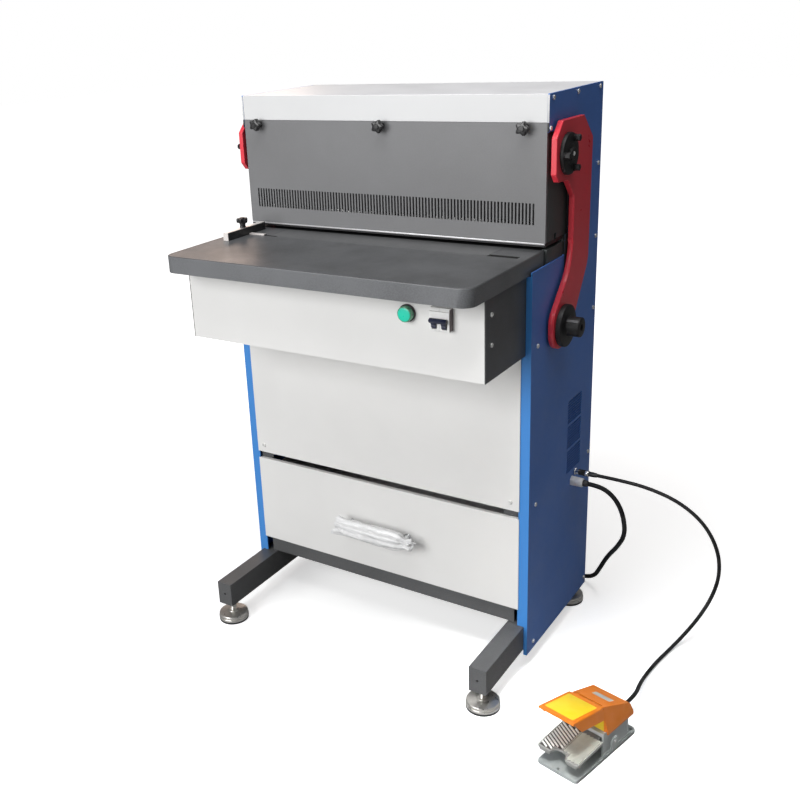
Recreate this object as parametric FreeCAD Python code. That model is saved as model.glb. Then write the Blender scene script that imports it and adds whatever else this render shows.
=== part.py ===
import FreeCAD, Part
import math
import os

# A free-standing motor-driven punching machine for wire binding, with its foot pedal.
# Millimetres. X runs to the right, Y to the back, Z up. The origin is on the floor,
# midway between the two legs and midway between the front and the back of the cabinet.

V = FreeCAD.Vector
UP = V(0, 0, 1)
ALONG_X = V(1, 0, 0)
ALONG_Y = V(0, 1, 0)

# Driving sizes of the whole machine
BODY_WIDTH = 628.0
BODY_DEPTH = 300.0
BODY_HEIGHT = 1050.0
HEAD_HEIGHT = 254.0
TABLE_REACH = 211.0
LEG_REACH = 158.0

# Sheet and plate
SIDE_SHEET = 3.0
SHEET = 1.5
SEAT_GAP = 0.3
FIT = 0.05
FLANGE_SHEET = 2.0

# Where the big pieces stand
HALF = BODY_WIDTH / 2
INSIDE = HALF - SIDE_SHEET
FRONT_Y = -BODY_DEPTH / 2
BACK_Y = BODY_DEPTH / 2
TABLE_TOP = BODY_HEIGHT - HEAD_HEIGHT
HEAD_SETBACK = 58.0
HEAD_FRONT_Y = FRONT_Y + HEAD_SETBACK
SKIN_HALF = INSIDE - SEAT_GAP

# Legs and feet
LEG_WIDTH = 34.0
LEG_HEIGHT = 50.0
LEG_WALL = 2.5
LEG_BOTTOM = 42.5
LEG_TOP = LEG_BOTTOM + LEG_HEIGHT
LEG_OUT = HALF - 7.5
LEG_MID = LEG_OUT - LEG_WIDTH / 2
LEG_FRONT_Y = FRONT_Y - LEG_REACH
LEG_BACK_Y = BACK_Y
CAP_THICK = 2.5
CAP_HOLE = 2.5
BEAM_SETBACK = 7.0
BEAM_END_GAP = 30.0
FOOT_RADIUS = 31.0
FOOT_SETBACK = 22.0
REAR_FOOT_SETBACK = 30.0
PAD_THICK = 4.0
DISH_RIM = 6.5
STEM_RADIUS = 6.0
STEM_TOP = 74.0
NUT_HEIGHT = 8.0
NUT_ACROSS = 19.0

# Side panels
PANEL_BOTTOM = 32.0
LEDGE_BELOW_TABLE = 24.0
LEDGE_Z = TABLE_TOP - LEDGE_BELOW_TABLE
NOTCH_DEPTH = 78.0
NOTCH_Y = HEAD_FRONT_Y + NOTCH_DEPTH
NOTCH_TOP = BODY_HEIGHT - 60.0
NOTCH_STEP = 12.0
FLANGE_WIDE = 20.0
FLANGE_NARROW = 10.5
VENT_WIDTH = 68.0
VENT_PITCH = 51.5
VENT_COUNT = 3
VENT_SLOTS = 9
VENT_SLOT_PITCH = 5.25
VENT_SLOT_HEIGHT = 3.6
VENT_FRONT_Y = 26.0
VENT_BOTTOM_Z = 334.8

# Fascia box under the table
FASCIA_HEIGHT = 138.0
TABLE_THICK = 31.0
TABLE_UNDERSIDE = TABLE_TOP - TABLE_THICK
FASCIA_TOP = TABLE_UNDERSIDE
FASCIA_BOTTOM = FASCIA_TOP - FASCIA_HEIGHT
FASCIA_REACH = 152.0
FASCIA_FRONT_Y = FRONT_Y - FASCIA_REACH
FASCIA_HALF = HALF - 11.0
FASCIA_BACK_Y = FRONT_Y + 30.0

# Table
TABLE_HALF = HALF - 7.0
TABLE_FRONT_Y = FRONT_Y - TABLE_REACH
TABLE_BACK_Y = HEAD_FRONT_Y + 4.0
TABLE_SKIN = 3.0
TABLE_CORNER = 23.0
INSERT_FRONT_Y = TABLE_BACK_Y - 67.0
INSERT_HALF = TABLE_HALF - 83.0
SLOT_WIDTH = 7.0
SLOT_LENGTH = 49.5
SLOT_Y = INSERT_FRONT_Y + 2.4
LEDGE_DEPTH = 10.0

# Side guide on the table
GUIDE_LEFT = -TABLE_HALF + 26.0
GUIDE_WIDTH = 12.0
GUIDE_LENGTH = 115.0
GUIDE_HEIGHT = 15.0
GUIDE_BACK_Y = HEAD_FRONT_Y - 13.0
GUIDE_RAIL_LENGTH = 36.0
GUIDE_RAIL_THICK = 2.0
GUIDE_KNOB_Y = GUIDE_BACK_Y - 62.0

# Drawer and front panels
DRAWER_BOTTOM = 127.5
DRAWER_HEIGHT = 188.5
DRAWER_TOP = DRAWER_BOTTOM + DRAWER_HEIGHT
PANEL_GAP = 15.0
FRONT_PANEL_BOTTOM = DRAWER_TOP + PANEL_GAP
FRONT_HALF = HALF - 18.0
RETURN_DEPTH = 7.0
TRAY_SHEET = 1.2
TRAY_HALF = FRONT_HALF - 16.0
TRAY_BOTTOM = 150.0
TRAY_TOP = 290.0
TRAY_DEPTH = BODY_DEPTH - 24.0
RUNNER_BOTTOM = 192.0
RUNNER_HEIGHT = 26.0
RUNNER_DEPTH = 12.0
RUNNER_WALL = 2.0
HANDLE_CENTRES = 128.0
HANDLE_RADIUS = 5.0
HANDLE_REACH = 33.0
HANDLE_BEND = 16.0
HANDLE_Z = 220.0

# Head, hood and cover
BAND_HEIGHT = 45.0
BAND_BOTTOM = BODY_HEIGHT - BAND_HEIGHT
DIE_TOP = TABLE_TOP - 0.5
STRIPPER_BOTTOM = TABLE_TOP + 6.0
STRIPPER_THICK = 6.0
STRIPPER_TOP = STRIPPER_BOTTOM + STRIPPER_THICK
HOOD_BOTTOM = STRIPPER_TOP + SEAT_GAP
HOOD_TOP = BAND_BOTTOM - SEAT_GAP
HOOD_RETURN = 6.0
HOOD_SLOT_PITCH = 6.35
HOOD_SLOT_WIDTH = 3.2
HOOD_SLOT_BOTTOM = TABLE_TOP + 42.0
HOOD_SLOT_HEIGHT = 36.0
HOOD_KNOB_DROP = 7.5
HOOD_KNOB_SPREAD = 274.0
KNOB_RADIUS = 12.0
KNOB_THICK = 10.0
KNOB_LOBES = 5
KNOB_NECK_RADIUS = 6.5
KNOB_NECK = 9.0
KNOB_STUD_RADIUS = 3.0

# Drive: shaft, eccentrics, rods and press beam
PIN_SETBACK = 45.5
PIN_Y = HEAD_FRONT_Y + PIN_SETBACK
SHAFT_BELOW_TABLE = 140.0
SHAFT_Z = TABLE_TOP - SHAFT_BELOW_TABLE
THROW = 5.0
ROD_CENTRES = 290.0
EYE_Z = SHAFT_Z + THROW
PIN_Z = EYE_Z + ROD_CENTRES
STROKE = 2 * THROW
SHAFT_RADIUS = 17.5
ECCENTRIC_RADIUS = 24.0
EYE_RADIUS = ECCENTRIC_RADIUS + THROW + 1.5
ROD_GAP = 4.5
ROD_THICK = 9.5
ROD_IN = HALF + ROD_GAP
ROD_OUT = ROD_IN + ROD_THICK
JOURNAL_RADIUS = 18.0
JOURNAL_END_RADIUS = 10.3
JOURNAL_PROUD = 11.5
HUB_RADIUS = 34.5
HUB_THICK = 6.5
HUB_BOLT_CIRCLE = 28.0
HUB_BOLTS = 3
HUB_BOLT_ACROSS = 9.5
HUB_BOLT_HEAD = 10.0
END_DISC_RADIUS = 37.5
END_DISC_THICK = 9.4
END_BOSS_RADIUS = 17.5
END_BOSS_LENGTH = 24.0
KEY_WIDTH = 5.0
KEY_TURN = 45.0
BEARING_DEPTH = 22.0
BEARING_FLANGE = 8.0
BEARING_SQUARE = 86.0
BEARING_BOSS_RADIUS = 33.0
HEAD_PLATE = 9.0
HEAD_PLATE_IN = INSIDE - HEAD_PLATE
HEAD_PLATE_FRONT_Y = HEAD_FRONT_Y + HOOD_RETURN + 0.5
HEAD_PLATE_BACK_Y = PIN_Y + 115.0
HEAD_PLATE_BOTTOM = TABLE_TOP - 66.0
HEAD_PLATE_TOP = BODY_HEIGHT - 10.0
BEAM_HALF = HEAD_PLATE_IN - 6.0
BEAM_DEPTH = 50.0
BEAM_BOTTOM = STRIPPER_TOP + 42.0
BEAM_HEIGHT = 120.0
GIB_DEPTH = 5.0
PUNCH_PITCH = 12.7
PUNCH_RADIUS = 2.5
PUNCH_TIP = STRIPPER_BOTTOM + 1.5
DIE_BACK_Y = PIN_Y + 30.0
DIE_THICK = 27.5
BED_THICK = 20.0

# Motor, belt and flywheel
FLYWHEEL_RADIUS = 80.0
FLYWHEEL_WIDTH = 46.0
BELT_X = -0.33 * BODY_WIDTH
BELT_WIDTH = 16.0
BELT_THICK = 8.0
BELT_GAP = 0.4
GROOVE_DEPTH = 6.0
PULLEY_RADIUS = 30.0
CLUTCH_RADIUS = 60.0
CLUTCH_THICK = 14.0
MOTOR_SHELF_Z = 340.0
SHELF_SHEET = 3.0
MOTOR_RADIUS = 58.0
MOTOR_LENGTH = 210.0
MOTOR_AXIS_HEIGHT = 71.0
MOTOR_Y = BACK_Y - 110.0
MOTOR_SHAFT_RADIUS = 9.0

# Lamp and breaker on the fascia
LAMP_X = 165.7
LAMP_Z = TABLE_TOP - 67.3
LAMP_RADIUS = 13.4
LAMP_PROUD = 14.0
BEZEL_RADIUS = 14.9
BEZEL_PROUD = 5.0
BREAKER_X = 229.0
BREAKER_Z = TABLE_TOP - 69.0
BREAKER_WIDTH = 36.0
BREAKER_HEIGHT = 38.0
BREAKER_PROUD = 9.0
BREAKER_NOSE = 3.0
LEVER_DROP = 10.0
LEVER_LENGTH = 11.5
LEVER_THICK = 6.0
LEVER_TILT = 58.0
LEVER_WIDTH = 8.0
LEVER_HUB_RADIUS = 4.5

# Outlets on the right side
SOCKET_Y = 69.0
SOCKET_Z = 324.0
SOCKET_LENGTH = 46.0
GLAND_Y = 54.0
GLAND_Z = 310.0
GLAND_RADIUS = 9.0
GLAND_THREAD = 6.0
GLAND_LENGTH = 34.0

# Foot pedal, in its own frame: X across, Y away from the operator
PEDAL_X = HALF + 155.1
PEDAL_Y = -368.4
PEDAL_TURN = -13.3
PEDAL_BASE_HALF = 38.5
PEDAL_FRONT = -12.0
PEDAL_REAR = 167.0
PEDAL_BASE_THICK = 6.0
HOUSING_HALF = 36.7
HOUSING_FRONT = 66.0
HOUSING_REAR = 147.0
HOUSING_TOP = 52.0
HOUSING_WALL = 3.0
MOUTH_TOP = 45.0
PIVOT_V = 98.0
PIVOT_Z = 22.0
PIVOT_RADIUS = 3.0
TREAD_HALF = 40.0
TREAD_FRONT = -10.0
TREAD_FRONT_Z = 35.5
TREAD_SLOPE = 0.07
TREAD_THICK = 4.5
TREAD_TAIL = 109.0
TREAD_TAIL_HALF = 30.0
RIB_PITCH = 5.6
RIB_WIDTH = 2.6
RIB_HEIGHT = 1.2
RIB_ANGLE = 18.0
GUARD_WALL = 2.0
GUARD_FOOT_HALF = 39.5
GUARD_FOOT_Z = 46.0
GUARD_TOP_HALF = 29.0
GUARD_TOP_Z = 100.0
GUARD_FRONT_V = 70.0
GUARD_CREST_V = 146.0
GUARD_CREST_Z = 70.0
GUARD_REAR_V = 152.0
FLAP_PIVOT_V = 73.0
FLAP_PIVOT_Z = 94.0
FLAP_PIN_RADIUS = 2.0
FLAP_TOP_HALF = 33.0
FLAP_FOOT_HALF = 37.0
FLAP_DEPTH = 21.0
FLAP_LENGTH = 84.0
FLAP_TILT = -12.5
FLAP_REAR_V = 66.0
FLAP_REAR_Z = 102.3
FLAP_WALL = 2.0
PEDAL_GLAND_U = 11.6
PEDAL_GLAND_Z = 40.0
PEDAL_GLAND_LENGTH = 20.0
PEDAL_SCREW_RADIUS = 2.75

# Cords
FOOT_CABLE_DIAMETER = 7.0
POWER_CABLE_DIAMETER = 9.0
BEND_SHARE = 0.45
COIL_X = HALF - 184.0
COIL_Y = 240.0
COIL_PITCH = 11.0
COIL_INNER = 38.0
COIL_TURNS = 2.5
COIL_OUTER = COIL_INNER + COIL_TURNS * COIL_PITCH
CORD_ON_FLOOR = POWER_CABLE_DIAMETER / 2 + SEAT_GAP
PLUG_RADIUS = 15.0
PLUG_LENGTH = 42.0


# Simple solids

def box(x0, x1, y0, y1, z0, z1):
    return Part.makeBox(x1 - x0, y1 - y0, z1 - z0, V(x0, y0, z0))


def rod_x(radius, x0, x1, y, z):
    return Part.makeCylinder(radius, x1 - x0, V(x0, y, z), ALONG_X)


def rod_y(radius, y0, y1, x, z):
    return Part.makeCylinder(radius, y1 - y0, V(x, y0, z), ALONG_Y)


def rod_z(radius, z0, z1, x, y):
    return Part.makeCylinder(radius, z1 - z0, V(x, y, z0), UP)


def mirrored(shape):
    return shape.mirror(V(0, 0, 0), ALONG_X)


def both_sides(shape):
    return [shape, mirrored(shape)]


def group(shapes):
    return Part.makeCompound(shapes)


def joined(shapes):
    result = shapes[0]
    for other in shapes[1:]:
        result = result.fuse(other)
    return result.removeSplitter()


def without(shape, tools):
    return shape.cut(group(tools))


def hexagon_z(across, z0, z1, x, y):
    radius = across / math.sqrt(3)
    corners = []
    for step in range(7):
        angle = math.radians(60 * step)
        corners.append(V(x + radius * math.cos(angle), y + radius * math.sin(angle), z0))
    return Part.Face(Part.makePolygon(corners)).extrude(V(0, 0, z1 - z0))


def turned_z(profile, x, y):
    """A solid of revolution about a vertical axis, from (radius, z) points."""
    points = [V(x + radius, y, z) for radius, z in profile]
    face = Part.Face(Part.makePolygon(points + [points[0]]))
    return face.revolve(V(x, y, 0), UP, 360)


# Paths and outlines: straight runs joined by tangent arcs

def corner_arc(before, corner, after, radius):
    """The arc that rounds a corner, as its start, middle and end."""
    arriving = (corner - before).normalize()
    leaving = (after - corner).normalize()
    half_turn = arriving.getAngle(leaving) / 2
    reach = radius * math.tan(half_turn)
    inward = (leaving - arriving).normalize()
    middle = corner + inward * (radius / math.cos(half_turn) - radius)
    return corner - arriving * reach, middle, corner + leaving * reach


def smooth_path(points, radii):
    """One wire through the points, with an arc of its own radius at each inner one."""
    edges = []
    start = points[0]
    for index in range(1, len(points) - 1):
        first, middle, last = corner_arc(points[index - 1], points[index], points[index + 1], radii[index])
        edges.append(Part.LineSegment(start, first).toShape())
        edges.append(Part.Arc(first, middle, last).toShape())
        start = last
    edges.append(Part.LineSegment(start, points[-1]).toShape())
    return Part.Wire(edges)


def outline(points, radii):
    """A closed flat face whose corners are rounded where their radius isn't zero."""
    edges = []
    count = len(points)
    arcs = []
    for index in range(count):
        before = points[index - 1]
        after = points[(index + 1) % count]
        if radii[index] > 0:
            arcs.append(corner_arc(before, points[index], after, radii[index]))
        else:
            arcs.append((points[index], None, points[index]))
    for index in range(count):
        first, middle, last = arcs[index]
        if middle is not None:
            edges.append(Part.Arc(first, middle, last).toShape())
        following = arcs[(index + 1) % count][0]
        if last.distanceToPoint(following) > 0.001:
            edges.append(Part.LineSegment(last, following).toShape())
    return Part.Face(Part.Wire(edges))


def plate_x(corners, x0, x1):
    """A plate square to X, from (y, z, corner radius) points."""
    face = outline([V(x0, y, z) for y, z, _ in corners], [radius for _, _, radius in corners])
    return face.extrude(V(x1 - x0, 0, 0))


def plate_y(corners, y0, y1):
    """A plate square to Y, from (x, z, corner radius) points."""
    face = outline([V(x, y0, z) for x, z, _ in corners], [radius for _, _, radius in corners])
    return face.extrude(V(0, y1 - y0, 0))


def plate_z(corners, z0, z1):
    """A plate square to Z, from (x, y, corner radius) points."""
    face = outline([V(x, y, z0) for x, y, _ in corners], [radius for _, _, radius in corners])
    return face.extrude(V(0, 0, z1 - z0))


def swept_round(path, radius):
    """A round bar along a path."""
    start = path.OrderedEdges[0]
    tangent = start.tangentAt(start.FirstParameter)
    origin = start.valueAt(start.FirstParameter)
    ring = Part.Wire([Part.makeCircle(radius, origin, tangent)])
    shell = Part.BRepOffsetAPI.MakePipeShell(path)
    shell.add(ring)
    shell.build()
    shell.makeSolid()
    return shell.shape()


def cord_radii(points):
    """The largest bend that each corner's two runs allow."""
    radii = [0.0]
    for index in range(1, len(points) - 1):
        arriving = points[index] - points[index - 1]
        leaving = points[index + 1] - points[index]
        half_turn = arriving.getAngle(leaving) / 2
        shorter = min(arriving.Length, leaving.Length)
        radii.append(BEND_SHARE * shorter / math.tan(half_turn))
    radii.append(0.0)
    return radii


def cord_tube(name, points, diameter):
    """A cord's tube, with its bends and its volume printed for checking."""
    radii = cord_radii(points)
    path = smooth_path(points, radii)
    tube = swept_round(path, diameter / 2)
    expected = math.pi * diameter ** 2 / 4 * path.Length
    runs = [(points[i + 1] - points[i]).Length for i in range(len(points) - 1)]
    print(name, "length", round(path.Length), "volume ratio", round(tube.Volume / expected, 4))
    print(name, "runs", [round(run) for run in runs])
    print(name, "radii in diameters", [round(radius / diameter, 1) for radius in radii[1:-1]])
    return tube


# Fasteners

def pan_screw_x(y, z, face_x, sheet):
    """A pan-head screw in a sheet whose outer face is at face_x."""
    head = rod_x(4.0, face_x, face_x + 2.4, y, z)
    head = head.makeFillet(1.2, [head.Edges[0]])
    recess = box(face_x + 1.4, face_x + 3.0, y - 2.2, y + 2.2, z - 0.4, z + 0.4)
    cross = box(face_x + 1.4, face_x + 3.0, y - 0.4, y + 0.4, z - 2.2, z + 2.2)
    shank = rod_x(2.0, face_x - sheet, face_x, y, z)
    return without(joined([head, shank]), [recess, cross])


def pan_screw_front(x, z, face_y, sheet):
    """A pan-head screw in a front panel whose outer face is at face_y."""
    flat = pan_screw_x(0, 0, 0, sheet)
    flat.rotate(V(0, 0, 0), UP, -90)
    flat.translate(V(x, face_y, z))
    return flat


def pan_screw_back(x, z, face_y, sheet):
    """A pan-head screw in a back panel whose outer face is at face_y."""
    flat = pan_screw_x(0, 0, 0, sheet)
    flat.rotate(V(0, 0, 0), UP, 90)
    flat.translate(V(x, face_y, z))
    return flat


SCREW_HOLE = 2.0 + FIT
SIDE_SCREWS = [
    (HEAD_FRONT_Y + 15.0, BODY_HEIGHT - 7.0),
    (HEAD_FRONT_Y + 121.0, BODY_HEIGHT - 7.0),
    (BACK_Y - 17.0, BODY_HEIGHT - 7.0),
    (HEAD_FRONT_Y + 5.0, NOTCH_TOP + 6.0),
    (BACK_Y - 14.0, BODY_HEIGHT - 141.0),
    (BACK_Y - 14.0, TABLE_TOP - 20.0),
    (BACK_Y - 13.0, TABLE_TOP - 158.0),
    (BACK_Y - 13.0, TABLE_TOP - 457.0),
    (BACK_Y - 10.0, LEG_BOTTOM + 7.0),
    (FRONT_Y + 28.0, LEG_BOTTOM + 6.0),
    (FRONT_Y + 28.0, DRAWER_TOP + 22.0),
    (FRONT_Y + 26.0, TABLE_TOP - 157.0),
]
FASCIA_SCREWS = [
    (FASCIA_FRONT_Y + 21.0, FASCIA_TOP - 29.0),
    (FASCIA_FRONT_Y + 21.0, FASCIA_BOTTOM + 59.0),
]
FRONT_SCREW_X = FRONT_HALF - 17.0
FRONT_SCREW_Z = FRONT_PANEL_BOTTOM + 16.0
BACK_SCREW_X = INSIDE - 10.0
BACK_SCREW_HEIGHTS = [150.0, TABLE_TOP - 380.0, TABLE_TOP - 80.0, BODY_HEIGHT - 60.0]
FRONT_FACE_Y = FRONT_Y - SHEET - SEAT_GAP


def panel_screws():
    screws = []
    for y, z in SIDE_SCREWS:
        screws += both_sides(pan_screw_x(y, z, HALF, SIDE_SHEET))
    for y, z in FASCIA_SCREWS:
        screws += both_sides(pan_screw_x(y, z, FASCIA_HALF, SHEET))
    screws += both_sides(pan_screw_front(FRONT_SCREW_X, FRONT_SCREW_Z, FRONT_FACE_Y, SHEET))
    for z in BACK_SCREW_HEIGHTS:
        screws += both_sides(pan_screw_back(BACK_SCREW_X, z, BACK_Y, SHEET))
    return group(screws)


# Base frame

def leg_tube():
    outer = box(LEG_OUT - LEG_WIDTH, LEG_OUT, LEG_FRONT_Y + CAP_THICK, LEG_BACK_Y - CAP_THICK, LEG_BOTTOM, LEG_TOP)
    inner = box(LEG_OUT - LEG_WIDTH + LEG_WALL, LEG_OUT - LEG_WALL, LEG_FRONT_Y, LEG_BACK_Y,
                LEG_BOTTOM + LEG_WALL, LEG_TOP - LEG_WALL)
    stem_holes = []
    for y in foot_places():
        stem_holes.append(rod_z(STEM_RADIUS + FIT, LEG_BOTTOM - 1, LEG_BOTTOM + LEG_WALL + 1, LEG_MID, y))
    pads = []
    for y, z in (SIDE_SCREWS[8], SIDE_SCREWS[9]):
        pads.append(box(LEG_OUT, INSIDE, y - 9, min(y + 9, BACK_Y - 3), LEG_BOTTOM, LEG_BOTTOM + 16))
    return joined([without(outer, [inner] + stem_holes)] + pads)


def foot_places():
    return [LEG_FRONT_Y + FOOT_SETBACK, BACK_Y - REAR_FOOT_SETBACK]


def cross_beams():
    half = LEG_OUT - BEAM_END_GAP + 8.0
    beams = []
    for front in (FRONT_Y + BEAM_SETBACK, BACK_Y - BEAM_SETBACK - LEG_WIDTH):
        outer = box(-half, half, front, front + LEG_WIDTH, LEG_TOP, LEG_TOP + LEG_HEIGHT)
        inner = box(-half - 1, half + 1, front + LEG_WALL, front + LEG_WIDTH - LEG_WALL,
                    LEG_TOP + LEG_WALL, LEG_TOP + LEG_HEIGHT - LEG_WALL)
        beams.append(outer.cut(inner))
    return group(beams)


def leg_end_caps():
    caps = []
    for y0 in (LEG_FRONT_Y, LEG_BACK_Y - CAP_THICK):
        cap = box(LEG_OUT - LEG_WIDTH, LEG_OUT, y0, y0 + CAP_THICK, LEG_BOTTOM, LEG_TOP)
        hole = rod_y(CAP_HOLE, y0 - 1, y0 + CAP_THICK + 1, LEG_MID, LEG_BOTTOM + LEG_HEIGHT / 2)
        caps += both_sides(cap.cut(hole))
    return group(caps)


def levelling_foot(x, y):
    pad = turned_z([(0, 0), (FOOT_RADIUS - 2, 0), (FOOT_RADIUS - 1, 1), (FOOT_RADIUS - 1, PAD_THICK),
                    (0, PAD_THICK)], x, y)
    rim = PAD_THICK + DISH_RIM
    foot = turned_z([(0, PAD_THICK), (FOOT_RADIUS, PAD_THICK), (FOOT_RADIUS, rim - 1.5), (FOOT_RADIUS - 2, rim),
                     (21, rim + 1.5), (20, rim + 6), (17, rim + 7.5), (11, rim + 8), (9, rim + 9),
                     (STEM_RADIUS, rim + 9), (STEM_RADIUS, STEM_TOP - 1), (STEM_RADIUS - 1, STEM_TOP),
                     (0, STEM_TOP)], x, y)
    nut = hexagon_z(NUT_ACROSS, LEG_BOTTOM - SEAT_GAP - NUT_HEIGHT, LEG_BOTTOM - SEAT_GAP, x, y)
    nut = nut.cut(rod_z(STEM_RADIUS + FIT, 0, LEG_TOP, x, y))
    return group([pad, foot, nut])


# Cabinet

def vent_cuts():
    cuts = []
    for vent in range(VENT_COUNT):
        bottom = VENT_BOTTOM_Z + vent * VENT_PITCH
        for slot in range(VENT_SLOTS):
            z = bottom + slot * VENT_SLOT_PITCH
            cuts.append(box(INSIDE - 1, HALF + 1, VENT_FRONT_Y, VENT_FRONT_Y + VENT_WIDTH,
                            z, z + VENT_SLOT_HEIGHT))
    return cuts


def side_panel():
    """The right side panel, without its cable outlets."""
    wall = plate_x([
        (FRONT_Y, PANEL_BOTTOM, 0), (FRONT_Y, LEDGE_Z, 0), (NOTCH_Y, LEDGE_Z, 4), (NOTCH_Y, STRIPPER_TOP, 0),
        (NOTCH_Y + NOTCH_STEP, STRIPPER_TOP, 0), (NOTCH_Y + NOTCH_STEP, NOTCH_TOP, 4),
        (HEAD_FRONT_Y, NOTCH_TOP, 0), (HEAD_FRONT_Y, BODY_HEIGHT, 2), (BACK_Y, BODY_HEIGHT, 2),
        (BACK_Y, PANEL_BOTTOM, 0)], INSIDE, HALF)
    front = FRONT_Y
    inner = FRONT_Y + FLANGE_SHEET
    over_leg = box(HALF - FLANGE_WIDE, INSIDE, front, inner, LEG_TOP + SEAT_GAP, FASCIA_BOTTOM - SEAT_GAP)
    beside_fascia = box(HALF - FLANGE_NARROW, INSIDE, front, inner, FASCIA_BOTTOM - SEAT_GAP - 1,
                        TABLE_UNDERSIDE - SEAT_GAP)
    beside_leg = box(LEG_OUT + SEAT_GAP, INSIDE, front, inner, PANEL_BOTTOM, LEG_TOP + SEAT_GAP + 1)
    rear_y = BACK_Y - SHEET - SEAT_GAP
    rear = box(INSIDE - FLANGE_WIDE, INSIDE, rear_y - FLANGE_SHEET, rear_y,
               LEG_TOP + LEG_HEIGHT + 2, BODY_HEIGHT - 14)
    panel = joined([wall, over_leg, beside_fascia, beside_leg, rear])
    holes = [rod_x(SCREW_HOLE, INSIDE - 1, HALF + 1, y, z) for y, z in SIDE_SCREWS]
    holes.append(rod_x(SHAFT_RADIUS + 1.5, INSIDE - 1, HALF + 1, PIN_Y, SHAFT_Z))
    return without(panel, holes + vent_cuts())


def right_side_panel():
    outlets = [rod_x(5.0, INSIDE - 1, HALF + 1, SOCKET_Y, SOCKET_Z),
               rod_x(GLAND_THREAD, INSIDE - 1, HALF + 1, GLAND_Y, GLAND_Z)]
    return without(side_panel(), outlets)


def back_panel():
    bottom = LEG_TOP + LEG_HEIGHT + 1.0
    sheet = box(-SKIN_HALF, SKIN_HALF, BACK_Y - SHEET, BACK_Y, bottom, BODY_HEIGHT - SHEET - 0.5)
    cuts = []
    for z in BACK_SCREW_HEIGHTS:
        for x in (-BACK_SCREW_X, BACK_SCREW_X):
            cuts.append(rod_y(SCREW_HOLE, BACK_Y - 3, BACK_Y + 1, x, z))
    for side in (-1, 1):
        for slot in range(8):
            z = MOTOR_SHELF_Z + 60 + slot * 9.0
            middle = side * BODY_WIDTH * 0.22
            cuts.append(box(middle - 45, middle + 45, BACK_Y - 3, BACK_Y + 1, z, z + 4))
    return without(sheet, cuts)


def cabinet_shelves():
    floor_z = LEG_TOP + LEG_HEIGHT
    inner_y = BACK_Y - SHEET - 2 * SEAT_GAP - FLANGE_SHEET
    floor = box(-SKIN_HALF, SKIN_HALF, FRONT_Y + 8.0, inner_y, floor_z, floor_z + 2.0)
    low = MOTOR_SHELF_Z - SHELF_SHEET
    shelf = box(-SKIN_HALF, SKIN_HALF, FRONT_Y + 12.0, inner_y, low, MOTOR_SHELF_Z)
    hem = box(-SKIN_HALF, SKIN_HALF, FRONT_Y + 12.0, FRONT_Y + 14.0, low - 12, low)
    return group([floor, joined([shelf, hem])])


def upper_front_panel():
    face = box(-FRONT_HALF, FRONT_HALF, FRONT_FACE_Y, FRONT_FACE_Y + SHEET,
               FRONT_PANEL_BOTTOM, FASCIA_BOTTOM + 12)
    back = FRONT_FACE_Y + SHEET
    inner = HALF - FLANGE_WIDE - SEAT_GAP
    lip = box(-inner, inner, back, back + RETURN_DEPTH, FRONT_PANEL_BOTTOM, FRONT_PANEL_BOTTOM + SHEET)
    tab = box(inner - 30, inner - 3, back + RETURN_DEPTH - SHEET, back + RETURN_DEPTH,
              DRAWER_TOP + 2, FRONT_PANEL_BOTTOM + SHEET)
    holes = []
    for x in (-FRONT_SCREW_X, FRONT_SCREW_X):
        holes.append(rod_y(SCREW_HOLE, FRONT_FACE_Y - 1, back + 1, x, FRONT_SCREW_Z))
    return without(joined([face, lip] + both_sides(tab)), holes)


# Drawer

def drawer_front():
    back = FRONT_FACE_Y + SHEET
    face = box(-FRONT_HALF, FRONT_HALF, FRONT_FACE_Y, back, DRAWER_BOTTOM, DRAWER_TOP)
    inner = HALF - FLANGE_WIDE - SEAT_GAP
    rim = box(-inner, inner, back, back + RETURN_DEPTH - SEAT_GAP, DRAWER_BOTTOM, DRAWER_TOP)
    hollow = box(-inner + SHEET, inner - SHEET, back, BACK_Y, DRAWER_BOTTOM + SHEET, DRAWER_TOP - SHEET)
    return joined([face, rim.cut(hollow)])


def drawer_tray():
    y0 = FRONT_FACE_Y + SHEET + SEAT_GAP
    y1 = y0 + TRAY_DEPTH
    outer = box(-TRAY_HALF, TRAY_HALF, y0, y1, TRAY_BOTTOM, TRAY_TOP)
    inner = box(-TRAY_HALF + TRAY_SHEET, TRAY_HALF - TRAY_SHEET, y0 + TRAY_SHEET, y1 - TRAY_SHEET,
                TRAY_BOTTOM + TRAY_SHEET, TRAY_TOP + 1)
    gap = RUNNER_WALL + SEAT_GAP
    slide = box(TRAY_HALF, TRAY_HALF + RUNNER_DEPTH - gap, y0 + 12, y1 - 2,
                RUNNER_BOTTOM + gap, RUNNER_BOTTOM + RUNNER_HEIGHT - gap)
    return joined([outer.cut(inner)] + both_sides(slide))


def drawer_runners():
    """Fixed channels that hold the tray's slide bars, each on two spacers."""
    x0 = TRAY_HALF + 0.7
    x1 = TRAY_HALF + RUNNER_DEPTH
    y0 = FRONT_Y + 8.0
    y1 = BACK_Y - 20.0
    outer = box(x0, x1, y0, y1, RUNNER_BOTTOM, RUNNER_BOTTOM + RUNNER_HEIGHT)
    inner = box(x0 - 1, x1 - RUNNER_WALL, y0 - 1, y1 + 1, RUNNER_BOTTOM + RUNNER_WALL,
                RUNNER_BOTTOM + RUNNER_HEIGHT - RUNNER_WALL)
    channel = outer.cut(inner)
    spacers = []
    for y in (y0 + 20, y1 - 50):
        spacers.append(box(x1, INSIDE, y, y + 30, RUNNER_BOTTOM + 3, RUNNER_BOTTOM + RUNNER_HEIGHT - 3))
    return group(both_sides(joined([channel] + spacers)))


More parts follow.
